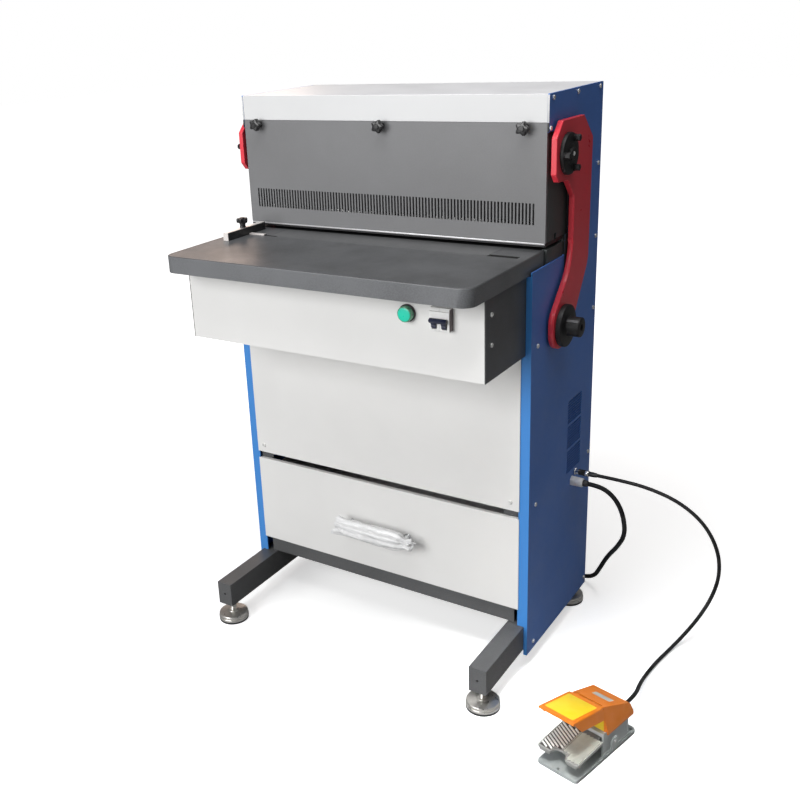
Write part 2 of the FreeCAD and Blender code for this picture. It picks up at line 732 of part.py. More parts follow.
def drawer_handle():
    half = HANDLE_CENTRES / 2
    out = FRONT_FACE_Y - HANDLE_REACH
    points = [V(-half, FRONT_FACE_Y, HANDLE_Z), V(-half, out, HANDLE_Z),
              V(half, out, HANDLE_Z), V(half, FRONT_FACE_Y, HANDLE_Z)]
    bow = swept_round(smooth_path(points, [0, HANDLE_BEND, HANDLE_BEND, 0]), HANDLE_RADIUS)
    collars = []
    for x in (-half, half):
        collars.append(rod_y(HANDLE_RADIUS + 2.5, FRONT_FACE_Y - 3, FRONT_FACE_Y, x, HANDLE_Z))
    return joined([bow] + collars)


# Fascia box with the lamp and the breaker

def fascia_panel():
    half = FASCIA_HALF - SHEET
    front = box(-half, half, FASCIA_FRONT_Y, FASCIA_FRONT_Y + SHEET, FASCIA_BOTTOM, FASCIA_TOP)
    bottom = box(-half, half, FASCIA_FRONT_Y, FRONT_FACE_Y - SEAT_GAP, FASCIA_BOTTOM, FASCIA_BOTTOM + SHEET)
    lamp = rod_y(11.0 + FIT, FASCIA_FRONT_Y - 1, FASCIA_FRONT_Y + SHEET + 1, LAMP_X, LAMP_Z)
    half_width = BREAKER_WIDTH / 2 + 0.2
    half_height = BREAKER_HEIGHT / 2 + 0.2
    window = box(BREAKER_X - half_width, BREAKER_X + half_width, FASCIA_FRONT_Y - 1, FASCIA_FRONT_Y + SHEET + 1,
                 BREAKER_Z - half_height, BREAKER_Z + half_height)
    return without(joined([front, bottom]), [lamp, window])


def fascia_side_plates():
    side = box(FASCIA_HALF - SHEET, FASCIA_HALF, FASCIA_FRONT_Y, FASCIA_BACK_Y, FASCIA_BOTTOM, FASCIA_TOP)
    holes = []
    for y, z in FASCIA_SCREWS:
        holes.append(rod_x(SCREW_HOLE, FASCIA_HALF - 3, FASCIA_HALF + 1, y, z))
    return group(both_sides(without(side, holes)))


def indicator_bezel():
    ring = rod_y(BEZEL_RADIUS, FASCIA_FRONT_Y - BEZEL_PROUD, FASCIA_FRONT_Y, LAMP_X, LAMP_Z)
    ring = ring.makeFillet(0.8, [ring.Edges[2]])
    barrel = rod_y(11.0, FASCIA_FRONT_Y, FASCIA_FRONT_Y + 38, LAMP_X, LAMP_Z)
    nut = rod_y(14.0, FASCIA_FRONT_Y + SHEET + 0.1, FASCIA_FRONT_Y + SHEET + 5, LAMP_X, LAMP_Z)
    seat = rod_y(LAMP_RADIUS + FIT, FASCIA_FRONT_Y - BEZEL_PROUD - 1, FASCIA_FRONT_Y - 1.5, LAMP_X, LAMP_Z)
    return joined([ring, barrel, nut]).cut(seat)


def indicator_lens():
    lens = rod_y(LAMP_RADIUS, FASCIA_FRONT_Y - LAMP_PROUD, FASCIA_FRONT_Y - 1.5, LAMP_X, LAMP_Z)
    return lens.makeFillet(3.5, [lens.Edges[2]])


def lever_places():
    return [BREAKER_X - 9.0, BREAKER_X + 9.0]


BREAKER_FRONT_Y = FASCIA_FRONT_Y - BREAKER_PROUD
LEVER_Y = BREAKER_FRONT_Y - BREAKER_NOSE + 1.0
LEVER_Z = BREAKER_Z - LEVER_DROP
WELL_LOW_Z = BREAKER_Z - 15.5
WELL_HIGH_Z = BREAKER_Z + 12.0


def breaker_body():
    half_width = BREAKER_WIDTH / 2
    front = BREAKER_FRONT_Y
    case = box(BREAKER_X - half_width, BREAKER_X + half_width, front, FASCIA_FRONT_Y + 62,
               BREAKER_Z - BREAKER_HEIGHT / 2, BREAKER_Z + BREAKER_HEIGHT / 2)
    nose = box(BREAKER_X - half_width, BREAKER_X + half_width, front - BREAKER_NOSE, front,
               WELL_LOW_Z - 1.5, WELL_HIGH_Z + 1.5)
    seam = box(BREAKER_X - 0.3, BREAKER_X + 0.3, front - 5, front + 1.0, BREAKER_Z - 30, BREAKER_Z + 30)
    wells = []
    for x in lever_places():
        wells.append(box(x - LEVER_WIDTH / 2 - 0.4, x + LEVER_WIDTH / 2 + 0.4, front - 5, LEVER_Y + 6.5,
                         WELL_LOW_Z, WELL_HIGH_Z))
    return without(joined([case, nose]), [seam] + wells)


def breaker_toggle():
    """Two levers that stand up from their pivots, with a bar across their tips."""
    tip = LEVER_Y - LEVER_LENGTH
    parts = []
    for x in lever_places():
        parts.append(box(x - LEVER_WIDTH / 2, x + LEVER_WIDTH / 2, tip, LEVER_Y,
                         LEVER_Z - LEVER_THICK / 2, LEVER_Z + LEVER_THICK / 2))
        parts.append(rod_x(LEVER_HUB_RADIUS, x - LEVER_WIDTH / 2, x + LEVER_WIDTH / 2, LEVER_Y, LEVER_Z))
    bar_half = 9.0 + LEVER_WIDTH / 2 + 2.5
    parts.append(box(BREAKER_X - bar_half, BREAKER_X + bar_half, tip - 3.0, tip + 3.0,
                     LEVER_Z - LEVER_THICK / 2 - 0.5, LEVER_Z + LEVER_THICK / 2 + 0.5))
    toggle = joined(parts)
    toggle.rotate(V(BREAKER_X, LEVER_Y, LEVER_Z), ALONG_X, -LEVER_TILT)
    return toggle


# Table and side guide

LEFT_SLOT_X = -INSERT_HALF - 6.0
RIGHT_SLOT_X = INSERT_HALF + 14.5


def table_top():
    corners = [(-TABLE_HALF, TABLE_BACK_Y, 0), (-TABLE_HALF, TABLE_FRONT_Y, TABLE_CORNER),
               (TABLE_HALF, TABLE_FRONT_Y, TABLE_CORNER), (TABLE_HALF, TABLE_BACK_Y, 0)]
    slab = plate_z(corners, TABLE_UNDERSIDE, TABLE_TOP)
    top_rim = [edge for edge in slab.Edges if edge.BoundBox.ZMin > TABLE_TOP - 0.01
               and edge.BoundBox.YMin < TABLE_BACK_Y - 0.01]
    slab = slab.makeFillet(2.0, top_rim)
    inner_half = TABLE_HALF - TABLE_SKIN
    inner_front = TABLE_FRONT_Y + TABLE_SKIN
    inner_corner = TABLE_CORNER - TABLE_SKIN
    inside = [(-inner_half, TABLE_BACK_Y + 1, 0), (-inner_half, inner_front, inner_corner),
              (inner_half, inner_front, inner_corner), (inner_half, TABLE_BACK_Y + 1, 0)]
    hollow = plate_z(inside, TABLE_UNDERSIDE - 1, TABLE_TOP - TABLE_SKIN)
    insert_space = box(-INSERT_HALF - 0.4, INSERT_HALF + 12.4, INSERT_FRONT_Y - 0.4, TABLE_BACK_Y + 1,
                       TABLE_TOP - TABLE_SKIN - 1, TABLE_TOP + 1)
    slot_front = SLOT_Y - SLOT_WIDTH / 2
    slot_back = SLOT_Y + SLOT_WIDTH / 2
    left_slot = box(LEFT_SLOT_X - SLOT_LENGTH, LEFT_SLOT_X + 3.5, slot_front, slot_back,
                    TABLE_TOP - 10, TABLE_TOP + 1)
    right_slot = box(RIGHT_SLOT_X, RIGHT_SLOT_X + SLOT_LENGTH, slot_front, slot_back,
                     TABLE_TOP - 10, TABLE_TOP + 1)
    ledge = box(-INSERT_HALF + 6, INSERT_HALF + 6, INSERT_FRONT_Y - 8, INSERT_FRONT_Y + LEDGE_DEPTH,
                TABLE_TOP - TABLE_SKIN - 3, TABLE_TOP - TABLE_SKIN)
    cross = box(-inner_half - 1, inner_half + 1, FRONT_Y - 40, FRONT_Y - 37, TABLE_UNDERSIDE, TABLE_TOP - 4)
    skin = without(slab, [hollow, insert_space, left_slot, right_slot])
    return joined([skin, ledge, cross])


def table_insert():
    low = TABLE_TOP - TABLE_SKIN
    return box(-INSERT_HALF, INSERT_HALF + 12.0, INSERT_FRONT_Y, TABLE_BACK_Y, low, TABLE_TOP)


def side_guide():
    right = GUIDE_LEFT + GUIDE_WIDTH
    front = GUIDE_BACK_Y - GUIDE_LENGTH
    top = TABLE_TOP + SEAT_GAP + GUIDE_HEIGHT
    low = TABLE_TOP + SEAT_GAP
    bar = box(GUIDE_LEFT, right, front, GUIDE_BACK_Y, low, top)
    bar = bar.makeChamfer(0.8, [edge for edge in bar.Edges if edge.BoundBox.ZMin > top - 0.01])
    middle = SLOT_Y
    rail = box(right - 1, right + GUIDE_RAIL_LENGTH, middle - 4, middle + 4, low, low + GUIDE_RAIL_THICK)
    key = box(LEFT_SLOT_X - SLOT_LENGTH + 1.0, LEFT_SLOT_X - SLOT_LENGTH + 26.0, middle - 3.2, middle + 3.2,
              TABLE_TOP - 8, low + 0.5)
    threaded = rod_z(KNOB_STUD_RADIUS + FIT, top - 13, top + 1, GUIDE_LEFT + GUIDE_WIDTH / 2, GUIDE_KNOB_Y)
    return joined([bar, rail, key]).cut(threaded)


def star_knob(radius, thick, neck_length, stud_length):
    """A star knob on its stud, pointing up, with its neck's foot at the origin."""
    lobes = []
    for lobe in range(KNOB_LOBES):
        angle = 2 * math.pi * lobe / KNOB_LOBES
        reach = radius * 0.68
        lobes.append(rod_z(radius * 0.32, neck_length, neck_length + thick,
                           reach * math.cos(angle), reach * math.sin(angle)))
    hub = rod_z(radius * 0.72, neck_length, neck_length + thick, 0, 0)
    cap = rod_z(radius * 0.45, neck_length + thick - 1, neck_length + thick + 1.5, 0, 0)
    neck = rod_z(min(KNOB_NECK_RADIUS, radius * 0.5), 0, neck_length + 1, 0, 0)
    stud = rod_z(KNOB_STUD_RADIUS, -stud_length, 1, 0, 0)
    return joined([hub] + lobes + [cap, neck, stud])


def guide_knob():
    knob = star_knob(11.5, 9.0, 9.0, 10.0)
    knob.translate(V(GUIDE_LEFT + GUIDE_WIDTH / 2, GUIDE_KNOB_Y, TABLE_TOP + 2 * SEAT_GAP + GUIDE_HEIGHT))
    return knob


# Head: cover, hood, frame and tools

HOOD_KNOB_Z = HOOD_TOP - HOOD_KNOB_DROP
HOOD_KNOBS = {"left": -HOOD_KNOB_SPREAD, "centre": 0.0, "right": HOOD_KNOB_SPREAD}
STUD_REACH = 14.0


def top_cover():
    band = box(-SKIN_HALF, SKIN_HALF, HEAD_FRONT_Y, HEAD_FRONT_Y + SHEET, BAND_BOTTOM, BODY_HEIGHT)
    top = box(-SKIN_HALF, SKIN_HALF, HEAD_FRONT_Y, BACK_Y - SEAT_GAP, BODY_HEIGHT - SHEET, BODY_HEIGHT)
    lip = box(-SKIN_HALF, SKIN_HALF, HEAD_FRONT_Y, HEAD_FRONT_Y + HOOD_RETURN, BAND_BOTTOM, BAND_BOTTOM + SHEET)
    side = box(SKIN_HALF - SHEET, SKIN_HALF, HEAD_FRONT_Y, HEAD_FRONT_Y + HOOD_RETURN, BAND_BOTTOM, BODY_HEIGHT)
    cover = joined([band, top, lip] + both_sides(side))
    rim = [edge for edge in cover.Edges if edge.BoundBox.ZMin > BODY_HEIGHT - 0.01
           and edge.BoundBox.YMax < HEAD_FRONT_Y + 0.01]
    return cover.makeFillet(1.2, rim)


def hood_slot_places():
    count = int((BODY_WIDTH - 50.0) / HOOD_SLOT_PITCH) + 1
    first = -(count - 1) * HOOD_SLOT_PITCH / 2
    return [first + index * HOOD_SLOT_PITCH for index in range(count)]


def front_hood():
    front = HEAD_FRONT_Y
    sheet = box(-SKIN_HALF, SKIN_HALF, front, front + SHEET, HOOD_BOTTOM, HOOD_TOP)
    side = box(SKIN_HALF - SHEET, SKIN_HALF, front, front + HOOD_RETURN, HOOD_BOTTOM, HOOD_TOP)
    hem = box(-SKIN_HALF, SKIN_HALF, front, front + 6, HOOD_BOTTOM, HOOD_BOTTOM + SHEET)
    cuts = []
    for x in hood_slot_places():
        cuts.append(box(x - HOOD_SLOT_WIDTH / 2, x + HOOD_SLOT_WIDTH / 2, front - 1, front + SHEET + 1,
                        HOOD_SLOT_BOTTOM, HOOD_SLOT_BOTTOM + HOOD_SLOT_HEIGHT))
    for x in HOOD_KNOBS.values():
        cuts.append(rod_y(KNOB_STUD_RADIUS + FIT, front - 1, front + SHEET + 1, x, HOOD_KNOB_Z))
    return without(joined([sheet, hem] + both_sides(side)), cuts)


def hood_knob(x):
    knob = star_knob(KNOB_RADIUS, KNOB_THICK, KNOB_NECK, STUD_REACH)
    knob.rotate(V(0, 0, 0), ALONG_X, 90)
    knob.translate(V(x, HEAD_FRONT_Y - SEAT_GAP, HOOD_KNOB_Z))
    return knob


def punch_places():
    count = int((BODY_WIDTH - 56.0) / PUNCH_PITCH) + 1
    first = -(count - 1) * PUNCH_PITCH / 2
    return [first + index * PUNCH_PITCH for index in range(count)]


PUNCH_Y = PIN_Y
BEAM_FRONT_Y = PIN_Y - BEAM_DEPTH / 2
BEAM_BACK_Y = PIN_Y + BEAM_DEPTH / 2
THROAT_BACK_Y = NOTCH_Y


def head_frame():
    """Two side plates, open at the throat, with the beam's gibs, the hood's rail and a rear tie."""
    plate = box(HEAD_PLATE_IN, INSIDE, HEAD_PLATE_FRONT_Y, HEAD_PLATE_BACK_Y, HEAD_PLATE_BOTTOM, HEAD_PLATE_TOP)
    slot_half = JOURNAL_RADIUS + 0.6
    slot = joined([
        box(HEAD_PLATE_IN - 1, INSIDE + 1, PIN_Y - slot_half, PIN_Y + slot_half, PIN_Z - STROKE, PIN_Z),
        rod_x(slot_half, HEAD_PLATE_IN - 1, INSIDE + 1, PIN_Y, PIN_Z),
        rod_x(slot_half, HEAD_PLATE_IN - 1, INSIDE + 1, PIN_Y, PIN_Z - STROKE)])
    gibs = []
    for y0 in (BEAM_FRONT_Y - SEAT_GAP - GIB_DEPTH, BEAM_BACK_Y + SEAT_GAP):
        gibs.append(box(BEAM_HALF - 14, HEAD_PLATE_IN, y0, y0 + GIB_DEPTH,
                        BEAM_BOTTOM + 10, BEAM_BOTTOM + BEAM_HEIGHT + 10))
    throat = box(HEAD_PLATE_IN - 1, INSIDE + 1, HEAD_FRONT_Y, THROAT_BACK_Y, TABLE_TOP + SEAT_GAP,
                 STRIPPER_TOP + SEAT_GAP)
    eye = box(HEAD_PLATE_IN - 1, INSIDE + 1, PIN_Y - 8, PIN_Y, TABLE_TOP + SEAT_GAP, STRIPPER_TOP + 10)
    side = joined([without(plate, [slot, throat, eye])] + gibs)
    rail_y = HEAD_FRONT_Y + SHEET + SEAT_GAP
    rail = box(-HEAD_PLATE_IN, HEAD_PLATE_IN, rail_y, rail_y + 10, HOOD_TOP - 20, HOOD_TOP - 1)
    rail_end = box(HEAD_PLATE_IN - 10, HEAD_PLATE_IN, rail_y + 9, rail_y + 24, HOOD_TOP - 20, HOOD_TOP - 1)
    studs = []
    for x in HOOD_KNOBS.values():
        studs.append(rod_y(KNOB_STUD_RADIUS + FIT, rail_y - 1, rail_y + 30, x, HOOD_KNOB_Z))
    rail = without(joined([rail] + both_sides(rail_end)), studs)
    tie = box(-HEAD_PLATE_IN, HEAD_PLATE_IN, HEAD_PLATE_BACK_Y - 12, HEAD_PLATE_BACK_Y,
              HEAD_PLATE_TOP - 120, HEAD_PLATE_TOP - 20)
    return group(both_sides(side) + [rail, tie])


def press_beam():
    bar = box(-BEAM_HALF, BEAM_HALF, BEAM_FRONT_Y, BEAM_BACK_Y, BEAM_BOTTOM, BEAM_BOTTOM + BEAM_HEIGHT)
    journal = rod_x(JOURNAL_RADIUS, BEAM_HALF - 1, ROD_OUT - SEAT_GAP, PIN_Y, PIN_Z)
    end = rod_x(JOURNAL_END_RADIUS, ROD_OUT - 1, ROD_OUT + JOURNAL_PROUD, PIN_Y, PIN_Z)
    end = end.makeChamfer(1.0, [edge for edge in end.Edges
                                if edge.BoundBox.XMin > ROD_OUT + JOURNAL_PROUD - 0.01])
    holder = box(-BEAM_HALF, BEAM_HALF, PIN_Y - 16, PIN_Y + 16, BEAM_BOTTOM - 14, BEAM_BOTTOM)
    return joined([bar, holder] + both_sides(joined([journal, end])))


def punch_pins():
    pins = []
    for x in punch_places():
        pins.append(rod_z(PUNCH_RADIUS, PUNCH_TIP, BEAM_BOTTOM - 14, x, PUNCH_Y))
    return group(pins)


def die_block():
    """The bed bar, the die plate and the stripper plate, each with a hole for every punch."""
    front = TABLE_BACK_Y + SEAT_GAP
    bed_top = DIE_TOP - DIE_THICK
    bed_half = HEAD_PLATE_IN - SEAT_GAP
    bed = box(-bed_half, bed_half, front, DIE_BACK_Y, bed_top - BED_THICK, bed_top)
    trough = box(-bed_half + 20, bed_half - 20, PUNCH_Y - 8, PUNCH_Y + 8, bed_top - BED_THICK - 1, bed_top + 1)
    die = box(-bed_half + 3, bed_half - 3, front, DIE_BACK_Y, bed_top, DIE_TOP)
    wide = box(-SKIN_HALF + 1, SKIN_HALF - 1, HEAD_FRONT_Y, HEAD_FRONT_Y + 2, STRIPPER_BOTTOM, STRIPPER_TOP)
    under_plates = INSIDE - SEAT_GAP
    stripper = joined([wide, box(-under_plates, under_plates, HEAD_FRONT_Y + 1, DIE_BACK_Y, STRIPPER_BOTTOM, STRIPPER_TOP)])
    holes = []
    for x in punch_places():
        holes.append(rod_z(PUNCH_RADIUS + FIT, bed_top - 1, STRIPPER_TOP + 1, x, PUNCH_Y))
    return group([bed.cut(trough), without(die, holes), without(stripper, holes)])


# Connecting rods, hubs and shaft

def connecting_rod():
    """The right rod: a cranked plate from the beam's journal to the eccentric on the shaft."""
    y = PIN_Y
    top = PIN_Z
    low = SHAFT_Z
    corners = [
        (y - 20.5, top + 55, 3), (y + 72, top + 54.5, 3), (y + 115.5, top + 14, 6), (y + 113, low + 170, 200),
        (y + 112, low + 93, 50), (y + 23, low - 39, 28), (y - 44.5, low - 39, 34), (y - 44.5, low + 22, 28),
        (y + 35.5, low + 103, 95), (y + 35.5, low + 219, 10), (y + 5, low + 250.5, 5),
        (y - 34.5, low + 252.5, 3), (y - 46, low + 266, 3), (y - 46, top + 29, 3)]
    body = plate_x(corners, ROD_IN, ROD_OUT)
    outer_face = [edge for edge in body.Edges if edge.BoundBox.XMin > ROD_OUT - 0.01]
    body = body.makeChamfer(0.8, outer_face)
    journal = rod_x(JOURNAL_RADIUS + FIT, ROD_IN - 1, ROD_OUT + 1, PIN_Y, PIN_Z)
    eye = rod_x(EYE_RADIUS, ROD_IN - 1, ROD_OUT + 1, PIN_Y, EYE_Z)
    return without(body, [journal, eye])


def bolt_circle(radius, count):
    places = []
    for index in range(count):
        angle = 2 * math.pi * (index + 0.5) / count
        places.append((PIN_Y + radius * math.cos(angle), PIN_Z + radius * math.sin(angle)))
    return places


def hex_head_x(across, x0, x1, y, z):
    head = hexagon_z(across, 0, x1 - x0, 0, 0)
    head.rotate(V(0, 0, 0), ALONG_Y, 90)
    head.translate(V(x0, y, z))
    return head


def rod_hubs():
    """Flanges that hold the rods on the beam's journals, each with its bolts."""
    x0 = ROD_OUT
    x1 = ROD_OUT + HUB_THICK
    flange = rod_x(HUB_RADIUS, x0, x1, PIN_Y, PIN_Z)
    flange = flange.makeFillet(1.5, [edge for edge in flange.Edges if edge.BoundBox.XMin > x1 - 0.01])
    bore = rod_x(JOURNAL_END_RADIUS + FIT, x0 - 1, x1 + 5, PIN_Y, PIN_Z)
    solids = both_sides(flange.cut(bore))
    for y, z in bolt_circle(HUB_BOLT_CIRCLE, HUB_BOLTS):
        head = hex_head_x(HUB_BOLT_ACROSS, x1, x1 + HUB_BOLT_HEAD, y, z)
        solids += both_sides(head)
    return group(solids)


BELT_HALF_SPACE = BELT_WIDTH / 2 + 1.0
FLYWHEEL_IN = BELT_X + FLYWHEEL_WIDTH / 2


def eccentric_shaft():
    end = ROD_OUT + 0.2
    shaft = rod_x(SHAFT_RADIUS, -end, end, PIN_Y, SHAFT_Z)
    eccentric = rod_x(ECCENTRIC_RADIUS, ROD_IN - SEAT_GAP, end, PIN_Y, EYE_Z)
    clutch_x = FLYWHEEL_IN + SEAT_GAP
    clutch = rod_x(CLUTCH_RADIUS, clutch_x, clutch_x + CLUTCH_THICK, PIN_Y, SHAFT_Z)
    sleeve = rod_x(SHAFT_RADIUS + 10, clutch_x + CLUTCH_THICK - 1, clutch_x + CLUTCH_THICK + 20, PIN_Y, SHAFT_Z)
    return joined([shaft, clutch, sleeve] + both_sides(eccentric))


def shaft_end_hubs():
    x0 = ROD_OUT + 0.4
    x1 = x0 + END_DISC_THICK
    x2 = x1 + END_BOSS_LENGTH
    disc = rod_x(END_DISC_RADIUS, x0, x1, PIN_Y, SHAFT_Z)
    disc = disc.makeFillet(2.0, [edge for edge in disc.Edges if edge.BoundBox.XMin > x1 - 0.01])
    boss = rod_x(END_BOSS_RADIUS, x1 - 1, x2, PIN_Y, SHAFT_Z)
    boss = boss.makeChamfer(1.5, [edge for edge in boss.Edges if edge.BoundBox.XMin > x2 - 0.01])
    half = KEY_WIDTH / 2
    key = plate_z([(x1 + 1, -half, half - 0.1), (x2 - 2, -half, half - 0.1), (x2 - 2, half, half - 0.1),
                   (x1 + 1, half, half - 0.1)], END_BOSS_RADIUS - 4, END_BOSS_RADIUS + 1.2)
    key.rotate(V(0, 0, 0), ALONG_X, KEY_TURN)
    key.translate(V(0, PIN_Y, SHAFT_Z))
    return group(both_sides(joined([disc, boss, key])))


def shaft_bearings():
    half = BEARING_SQUARE / 2
    x0 = INSIDE - BEARING_FLANGE
    flange = plate_x([(PIN_Y - half, SHAFT_Z - half, 10), (PIN_Y - half, SHAFT_Z + half, 10),
                      (PIN_Y + half, SHAFT_Z + half, 10), (PIN_Y + half, SHAFT_Z - half, 10)], x0, INSIDE)
    boss = rod_x(BEARING_BOSS_RADIUS, INSIDE - BEARING_DEPTH, x0 + 1, PIN_Y, SHAFT_Z)
    bore = rod_x(SHAFT_RADIUS + FIT, INSIDE - BEARING_DEPTH - 1, INSIDE + 1, PIN_Y, SHAFT_Z)
    return group(both_sides(joined([flange, boss]).cut(bore)))


# Motor, belt and flywheel

MOTOR_Z = MOTOR_SHELF_Z + MOTOR_AXIS_HEIGHT
MOTOR_END_X = BELT_X + FLYWHEEL_WIDTH / 2 + 34.0


def grooved_wheel(radius, y, z, bore):
    wheel = rod_x(radius, BELT_X - FLYWHEEL_WIDTH / 2, FLYWHEEL_IN, y, z)
    groove = rod_x(radius + 1, BELT_X - BELT_HALF_SPACE, BELT_X + BELT_HALF_SPACE, y, z)
    groove = groove.cut(rod_x(radius - GROOVE_DEPTH, BELT_X - 40, BELT_X + 40, y, z))
    tools = [groove]
    if bore > 0:
        tools.append(rod_x(bore, BELT_X - 60, BELT_X + 60, y, z))
    return without(wheel, tools)


def flywheel():
    return grooved_wheel(FLYWHEEL_RADIUS, PIN_Y, SHAFT_Z, SHAFT_RADIUS + FIT)


def motor_rotor():
    pulley = grooved_wheel(PULLEY_RADIUS, MOTOR_Y, MOTOR_Z, 0)
    shaft = rod_x(MOTOR_SHAFT_RADIUS, BELT_X - FLYWHEEL_WIDTH / 2 - 4, MOTOR_END_X + MOTOR_LENGTH - 30,
                  MOTOR_Y, MOTOR_Z)
    return joined([pulley, shaft])


def belt_loop(wheel_radius, pulley_radius, half_width):
    """The solid inside an open belt's run round the flywheel and the motor pulley."""
    span_y = MOTOR_Y - PIN_Y
    span_z = MOTOR_Z - SHAFT_Z
    span = math.hypot(span_y, span_z)
    heading = math.atan2(span_z, span_y)
    lean = math.acos((wheel_radius - pulley_radius) / span)
    corners = []
    for side in (1, -1):
        angle = heading + side * lean
        corners.append([(PIN_Y + wheel_radius * math.cos(angle), SHAFT_Z + wheel_radius * math.sin(angle)),
                        (MOTOR_Y + pulley_radius * math.cos(angle), MOTOR_Z + pulley_radius * math.sin(angle))])
    ring = [corners[0][0], corners[0][1], corners[1][1], corners[1][0]]
    points = [V(BELT_X - half_width, y, z) for y, z in ring]
    web = Part.Face(Part.makePolygon(points + [points[0]])).extrude(V(2 * half_width, 0, 0))
    return joined([web, rod_x(wheel_radius, BELT_X - half_width, BELT_X + half_width, PIN_Y, SHAFT_Z),
                   rod_x(pulley_radius, BELT_X - half_width, BELT_X + half_width, MOTOR_Y, MOTOR_Z)])


def drive_belt():
    wheel = FLYWHEEL_RADIUS - GROOVE_DEPTH + BELT_GAP
    pulley = PULLEY_RADIUS - GROOVE_DEPTH + BELT_GAP
    outer = belt_loop(wheel + BELT_THICK, pulley + BELT_THICK, BELT_WIDTH / 2)
    return outer.cut(belt_loop(wheel, pulley, BELT_WIDTH / 2 + 1))


def motor_body():
    x0 = MOTOR_END_X
    x1 = x0 + MOTOR_LENGTH
    barrel = rod_x(MOTOR_RADIUS, x0 + 14, x1 - 14, MOTOR_Y, MOTOR_Z)
    bell = rod_x(MOTOR_RADIUS - 8, x0, x0 + 15, MOTOR_Y, MOTOR_Z)
    cowl = rod_x(MOTOR_RADIUS - 4, x1 - 15, x1, MOTOR_Y, MOTOR_Z)
    terminal = box(x0 + 40, x0 + 110, MOTOR_Y - 30, MOTOR_Y + 30, MOTOR_Z + 40, MOTOR_Z + MOTOR_RADIUS + 22)
    feet = []
    for x in (x0 + 30, x1 - 60):
        feet.append(box(x, x + 30, MOTOR_Y - 62, MOTOR_Y + 62, MOTOR_SHELF_Z, MOTOR_SHELF_Z + 10))
        feet.append(box(x, x + 30, MOTOR_Y - 30, MOTOR_Y + 30, MOTOR_SHELF_Z, MOTOR_Z))
    bore = rod_x(MOTOR_SHAFT_RADIUS + FIT, x0 - 1, x1 - 29, MOTOR_Y, MOTOR_Z)
    return joined([barrel, bell, cowl, terminal] + feet).cut(bore)


# Outlets on the right side

def foot_cable_socket():
    flange = hex_head_x(13.0, HALF, HALF + 3, SOCKET_Y, SOCKET_Z)
    body = rod_x(5.2, HALF + 2, HALF + 16, SOCKET_Y, SOCKET_Z)
    nut = rod_x(6.0, HALF + 15, HALF + 30, SOCKET_Y, SOCKET_Z)
    tail = rod_x(5.0, HALF + 29, HALF + SOCKET_LENGTH, SOCKET_Y, SOCKET_Z)
    thread = rod_x(5.0 - FIT, INSIDE - 8, HALF + 1, SOCKET_Y, SOCKET_Z)
    return joined([flange, body, nut, tail, thread])


def cable_gland():
    flange = hex_head_x(18.0, HALF, HALF + 8, GLAND_Y, GLAND_Z)
    body = rod_x(GLAND_RADIUS, HALF + 7, HALF + 24, GLAND_Y, GLAND_Z)
    body = body.makeFillet(2.0, [edge for edge in body.Edges if edge.BoundBox.XMin > HALF + 23.9])
    sleeve = rod_x(6.5, HALF + 23, HALF + GLAND_LENGTH, GLAND_Y, GLAND_Z)
    thread = rod_x(GLAND_THREAD - FIT, INSIDE - 8, HALF + 1, GLAND_Y, GLAND_Z)
    return joined([flange, body, sleeve, thread])


# Foot pedal

def on_floor(shape):
    """Turns a pedal piece from the pedal's own frame to its place on the floor."""
    placed = shape.copy()
    placed.rotate(V(0, 0, 0), UP, PEDAL_TURN)
    placed.translate(V(PEDAL_X, PEDAL_Y, 0))
    return placed


def pedal_point(u, v, z):
    turn = math.radians(PEDAL_TURN)
    return V(PEDAL_X + u * math.cos(turn) - v * math.sin(turn), PEDAL_Y + u * math.sin(turn) + v * math.cos(turn), z)


PEDAL_SCREWS = [(0.0, PEDAL_FRONT + 6), (-PEDAL_BASE_HALF + 7, PEDAL_REAR - 8), (PEDAL_BASE_HALF - 7, PEDAL_REAR - 8)]


